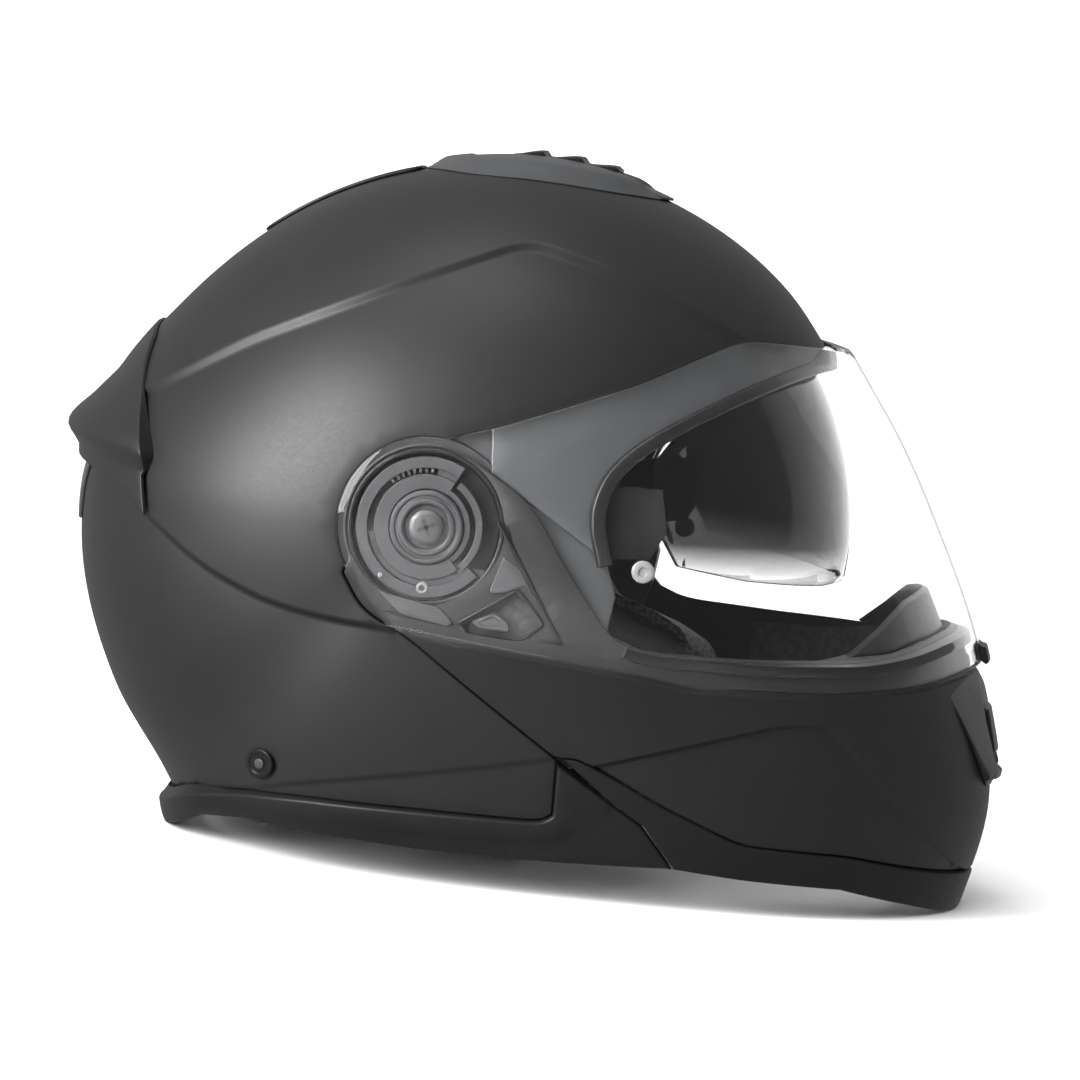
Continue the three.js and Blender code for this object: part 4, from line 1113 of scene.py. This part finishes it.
well_lines = [front_trace(base, [(0.8, z), (40, z)]) for z in (50, 52, 55, 62)]
well_lines += [front_trace(base, [(0.8, z), (WELL_HALF, z)])
               for z in (WELL_LOW, 54.5, 56.1, 57.8, 59.5, 77, WELL_HIGH)]
well_lines += [front_trace(base, [(y, WELL_LOW), (y, WELL_HIGH)]) for y in (WELL_HALF - 1, WELL_HALF)]
panel("chin_vent", base, chin_vent, vent_floor_rise, 0.35, vent_look, "chin_bar", "vent_plastic",
      ["chin_vent_housing"], edge=0.35, spacing=2.0, lines=well_lines)
flap = front_trace(base, soft([(0, 61), (16.2, 61), (15.4, 76.6), (0, 76.6)], 1.5))
panel("chin_vent_shutter", base, flap, 4.9, 2.4, dark_look, "chin_vent_flap", "dark_plastic",
      ["chin_vent_flap"], edge=0.8, spacing=2.4)

# ---------------------------------------------------------------- liner
FOAM = [(FAR, 37), (-2, 37), (0, 62), (14, 84), (24, 104), (27, 130), (28, 150), (42, 168), (60, 181),
        (84, 192), (98, 200), (150, 230), (150, HIGH), (FAR, HIGH)]


def foam_top(q):
    theta = np.degrees(np.arctan2(q[:, 1], q[:, 0]))
    return -4.2 - 11 * ramp(theta, -30, -12) * ramp(112 - theta, 0, 14)


foam_outline = trace(base, FOAM)
panel("impact_foam", base, foam_outline, foam_top, -31.8, foam_look, "shell", "foam", ["impact_liner"],
      edge=3, spacing=4.5)


def evaluated(o):
    """Its mesh with its modifiers applied."""
    graph = bpy.context.evaluated_depsgraph_get()
    graph.update()
    return bpy.data.meshes.new_from_object(o.evaluated_get(graph))


def plump(o, voxel, cap):
    """Swells a closed pad by cloth simulation, from a remeshed copy of its shape."""
    m = o.modifiers.new("Remesh", "REMESH")
    m.mode = "VOXEL"
    m.voxel_size = voxel * MM
    mesh = evaluated(o)
    o.modifiers.clear()
    o.data = mesh
    rest = np.array([v.co for v in mesh.vertices])
    cloth = o.modifiers.new("Cloth", "CLOTH")
    cloth.settings.quality = 5
    cloth.settings.use_pressure = True
    cloth.settings.uniform_pressure_force = 4
    cloth.settings.effector_weights.gravity = 0
    cloth.settings.tension_stiffness = 25
    cloth.point_cache.frame_start = 1
    cloth.point_cache.frame_end = 20
    for f in range(1, 21):
        scene.frame_set(f)
    swollen = np.array([v.co for v in evaluated(o).vertices])
    o.modifiers.clear()
    scene.frame_set(1)
    move = swollen - rest
    length = np.linalg.norm(move, axis=1)[:, None]
    move *= np.minimum(1, cap * MM / np.maximum(length, 1e-9))
    mesh.vertices.foreach_set("co", (rest + move).astype(np.float32).ravel())
    mesh.update()
    m = o.modifiers.new("Smooth", "SUBSURF")
    m.levels = m.render_levels = 1
    mesh = evaluated(o)
    o.modifiers.clear()
    o.data = mesh
    mesh.shade_smooth()
    return o


def sewn(o, lines, depth, width):
    """Sinks a pad's surface along side view lines, as its seams do."""
    mesh = o.data
    co = np.array([v.co for v in mesh.vertices]) / MM
    normal = np.array([v.normal for v in mesh.vertices])
    gap = np.min([np.abs(signed_distance(co[:, [0, 2]], line)) for line in lines], axis=0)
    sink = depth * np.exp(-((gap / width) ** 2))
    mesh.vertices.foreach_set("co", ((co - normal * sink[:, None]) * MM).astype(np.float32).ravel())
    mesh.update()


def pad(name, outline, outer, inner, body, replaces, mirror, seams, edge=4.0, voxel=4.5, cap=4.0):
    mesh = panel_mesh(base, trace(base, outline), outer, inner, edge=edge, spacing=4)
    made = []
    if mirror == "pair":
        made = add_pair(name, *mesh, knit_look, body, "lining", replaces)
    else:
        made = [add(name, *whole(*mesh), knit_look, body, "lining", replaces)]
    for o in made:
        o.data.materials.clear()
        o.data.materials.append(knit_look)
        plump(o, voxel, cap)
        if seams:
            sewn(o, seams, 1.6, 1.3)
    return made


CHEEK = [(-24, 25.5), (-26, 85), (-13, 104.5), (5, 102.5), (23, 90.5), (43, 82.5), (68, 74.5), (78, 61.5),
         (74, 41), (51, 27.5)]
cheek_seams = [[(-14, 34), (-16, 82), (-8, 95), (4, 93), (20, 82), (42, 73), (62, 66), (68, 58), (65, 44),
                (48, 36), (-14, 34)], [(4, 30), (2, 96)], [(28, 30), (26, 84)]]
pad("cheek_cushion", CHEEK, -34, -51, "shell", ["cheek_pad_{side}"], "pair", cheek_seams)
CROWN = [(FAR, 98), (-62, 98), (-32, 120), (4, 122), (18, 151), (43, 168), (61, 180), (98, 198),
         (150, HIGH), (FAR, HIGH)]
crown_seams = [
    [(-170, 150), (-60, 150), (-20, 170), (20, 182), (80, 205)],
    [(-60, 98), (-60, 240)], [(-10, 110), (-10, 250)], [(30, 150), (30, 245)],
]
pad("crown_cushion", CROWN, -33.2, -40.5, "shell", ["crown_pad"], "whole", crown_seams, edge=2.5, voxel=4,
    cap=2.5)
ROLL = [(FAR, 15.5), (-46, 17.5), (-48, 35.2), (FAR, 35.2)]
pad("neck_cushion", ROLL, -8, -28.5, "shell", ["neck_roll"], "whole", [[(-170, 26), (-46, 26)]], edge=4,
    cap=2.5)

# Netting along the front edge of the cheek pads
NET = [(24.5, 100), (33, 88), (46, 84), (62, 79), (76, 72), (82, 62), (79, 60), (74, 69), (60, 75),
       (44, 80), (29, 86), (21.5, 97)]
net = panel_mesh(base, trace(base, rounded(NET, 3)), -27, -52, edge=2.5, spacing=2.6)
add_pair("cheek_net", *net, mesh_look, "shell", "lining")

# ---------------------------------------------------------------- small parts
rivet_at = np.array([-84.0, 35.5])
rivet_reach = -base.place(base.flatten(rivet_at[None])[0])[0, 1]
slope = base.place(base.flatten(np.array([[-79.0, 35.5]]))[0])[0, 1] + rivet_reach
rivet_v, rivet_f = turned([(0, -1.2), (5.6, -1.2), (5.6, 1.2), (5, 1.9), (4, 1.9), (3.6, 1.4), (0, 1.5)],
                          np.zeros(2), 48)
low = base.place(base.flatten(np.array([[-84.0, 30.5]]))[0])[0, 1] + rivet_reach
rivet_v[:, 1] += slope / 5 * rivet_v[:, 0] - low / 5 * rivet_v[:, 2] - rivet_reach
rivet_v[:, [0, 2]] += rivet_at
add_pair("strap_rivet_cap", rivet_v, rivet_f, dark_look, "shell", "dark_plastic", ["strap_rivet_{side}"],
         bevel=0.2)
dot_v, dot_f = turned([(0, 1.3), (1.8, 1.3), (1.8, 1.9), (1.2, 2.2), (0, 2.2)], np.zeros(2), 32)
dot_v[:, 1] += slope / 5 * dot_v[:, 0] - low / 5 * dot_v[:, 2] - rivet_reach
dot_v[:, [0, 2]] += rivet_at
add_pair("strap_rivet_dot", dot_v, dot_f, vent_look, "shell", "steel")
TRACK = [(-71, 29), (-19, 29.5), (-19, 39.5), (-71, 39.5)]
track = panel_mesh(base, trace(base, rounded(TRACK, 3)), 1.4, 0.35, edge=0.4, spacing=2.4)
add("lever_track", *flipped(*track), vent_look, "shell", "dark_plastic", ["slider_track"])
KNOB = [(-67, 31), (-51, 31), (-51, 38.5), (-67, 38.5)]


def knob_rise(q):
    x = base.place(q)[:, 0]
    return 6.0 + 0.35 * np.sin(x * 2 * np.pi / 2.6)


knob = panel_mesh(base, trace(base, rounded(KNOB, 2), step=0.8), knob_rise, 3.2, edge=0.6, spacing=0.9)
add("lever_knob", *flipped(*knob), dark_look, "sun_slider", "dark_plastic", ["sun_slider"])

NODE_LOOKS = {
    "striker": steel_look, "hook_pin": steel_look, "latch_hook": steel_look, "strap_anchor": steel_look,
    "latch_cable": rubber_look, "button_housing": dark_look, "release_button": rubber_look,
    "buckle_body": dark_look, "strap_tongue": dark_look, "buckle_lever": dark_look, "sun_arm": dark_look,
    "strap_left": webbing_look, "strap_right": webbing_look,
}
for name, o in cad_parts.items():
    for key, look in NODE_LOOKS.items():
        if name.startswith(key) and not o.hide_render:
            o.data.materials.clear()
            o.data.materials.append(look)

# ---------------------------------------------------------------- floor, light and camera
floor_look = coated("pale_floor", (0.82, 0.82, 0.82), (0.85, 0.85, 0.85), (0.6, 0.7), 300, 0.01)
sweep = [(y, 0.0) for y in (-6000, -600, 600, 1200, 1700)]
sweep += [(1700 + 900 * math.sin(t), 900 - 900 * math.cos(t)) for t in np.linspace(0.15, math.pi / 2, 10)]
sweep += [(2600, 6000)]
floor_verts = [(x, y, z) for y, z in sweep for x in (-7000, 7000)]
floor_faces = [(2 * i, 2 * i + 1, 2 * i + 3, 2 * i + 2) for i in range(len(sweep) - 1)]
floor_mesh = bpy.data.meshes.new("floor")
floor_mesh.from_pydata((np.array(floor_verts) * MM).tolist(), [], floor_faces)
floor_mesh.shade_smooth()
floor_mesh.materials.append(floor_look)
floor = bpy.data.objects.new("floor", floor_mesh)
scene.collection.objects.link(floor)
floor.visible_glossy = False

TARGET = Vector((-0.163, 0, 118.355)) * MM
world = bpy.data.worlds.new("studio")
scene.world = world
world.use_nodes = True
world.node_tree.nodes["Background"].inputs["Color"].default_value = (1, 1, 1, 1)
world.node_tree.nodes["Background"].inputs["Strength"].default_value = 0.45


def area_light(name, place, size, power):
    data = bpy.data.lights.new(name, "AREA")
    data.shape = "RECTANGLE"
    data.size, data.size_y = size
    data.energy = power
    o = bpy.data.objects.new(name, data)
    o.location = place
    o.rotation_euler = (TARGET - Vector(place)).to_track_quat("-Z", "Y").to_euler()
    scene.collection.objects.link(o)


area_light("key", (-1.5, -1.35, 0.75), (1.0, 1.3), 120)
area_light("top", (-0.3, -0.3, 1.9), (1.2, 0.8), 12)
sky = bpy.data.lights.new("sky", "SUN")
sky.energy = 3.3
sky.angle = math.radians(60)
sky_object = bpy.data.objects.new("sky", sky)
sky_object.rotation_euler = Vector((0.35, 0.62, -0.7)).to_track_quat("-Z", "Y").to_euler()
sky_object.visible_glossy = False
scene.collection.objects.link(sky_object)

TILT, AZIMUTH, ELEVATION = math.radians(5.9), math.radians(5.2), math.radians(4.0)
DISTANCE = 2.0


def turned_to_row(x, y, z):
    return Vector((x * math.cos(TILT) - z * math.sin(TILT), y, x * math.sin(TILT) + z * math.cos(TILT)))


forward = turned_to_row(
    -math.sin(AZIMUTH) * math.cos(ELEVATION), math.cos(AZIMUTH) * math.cos(ELEVATION), -math.sin(ELEVATION)
)
right = turned_to_row(math.cos(AZIMUTH), math.sin(AZIMUTH), 0)
up = right.cross(forward)
camera_data = bpy.data.cameras.new("camera")
camera_data.sensor_width = 36
camera_data.lens = 177.8
camera = bpy.data.objects.new("camera", camera_data)
spot = TARGET - forward * DISTANCE
camera.matrix_world = Matrix(((right.x, up.x, -forward.x, spot.x), (right.y, up.y, -forward.y, spot.y),
                              (right.z, up.z, -forward.z, spot.z), (0, 0, 0, 1)))
scene.collection.objects.link(camera)
scene.camera = camera
scene.view_settings.view_transform = "Standard"
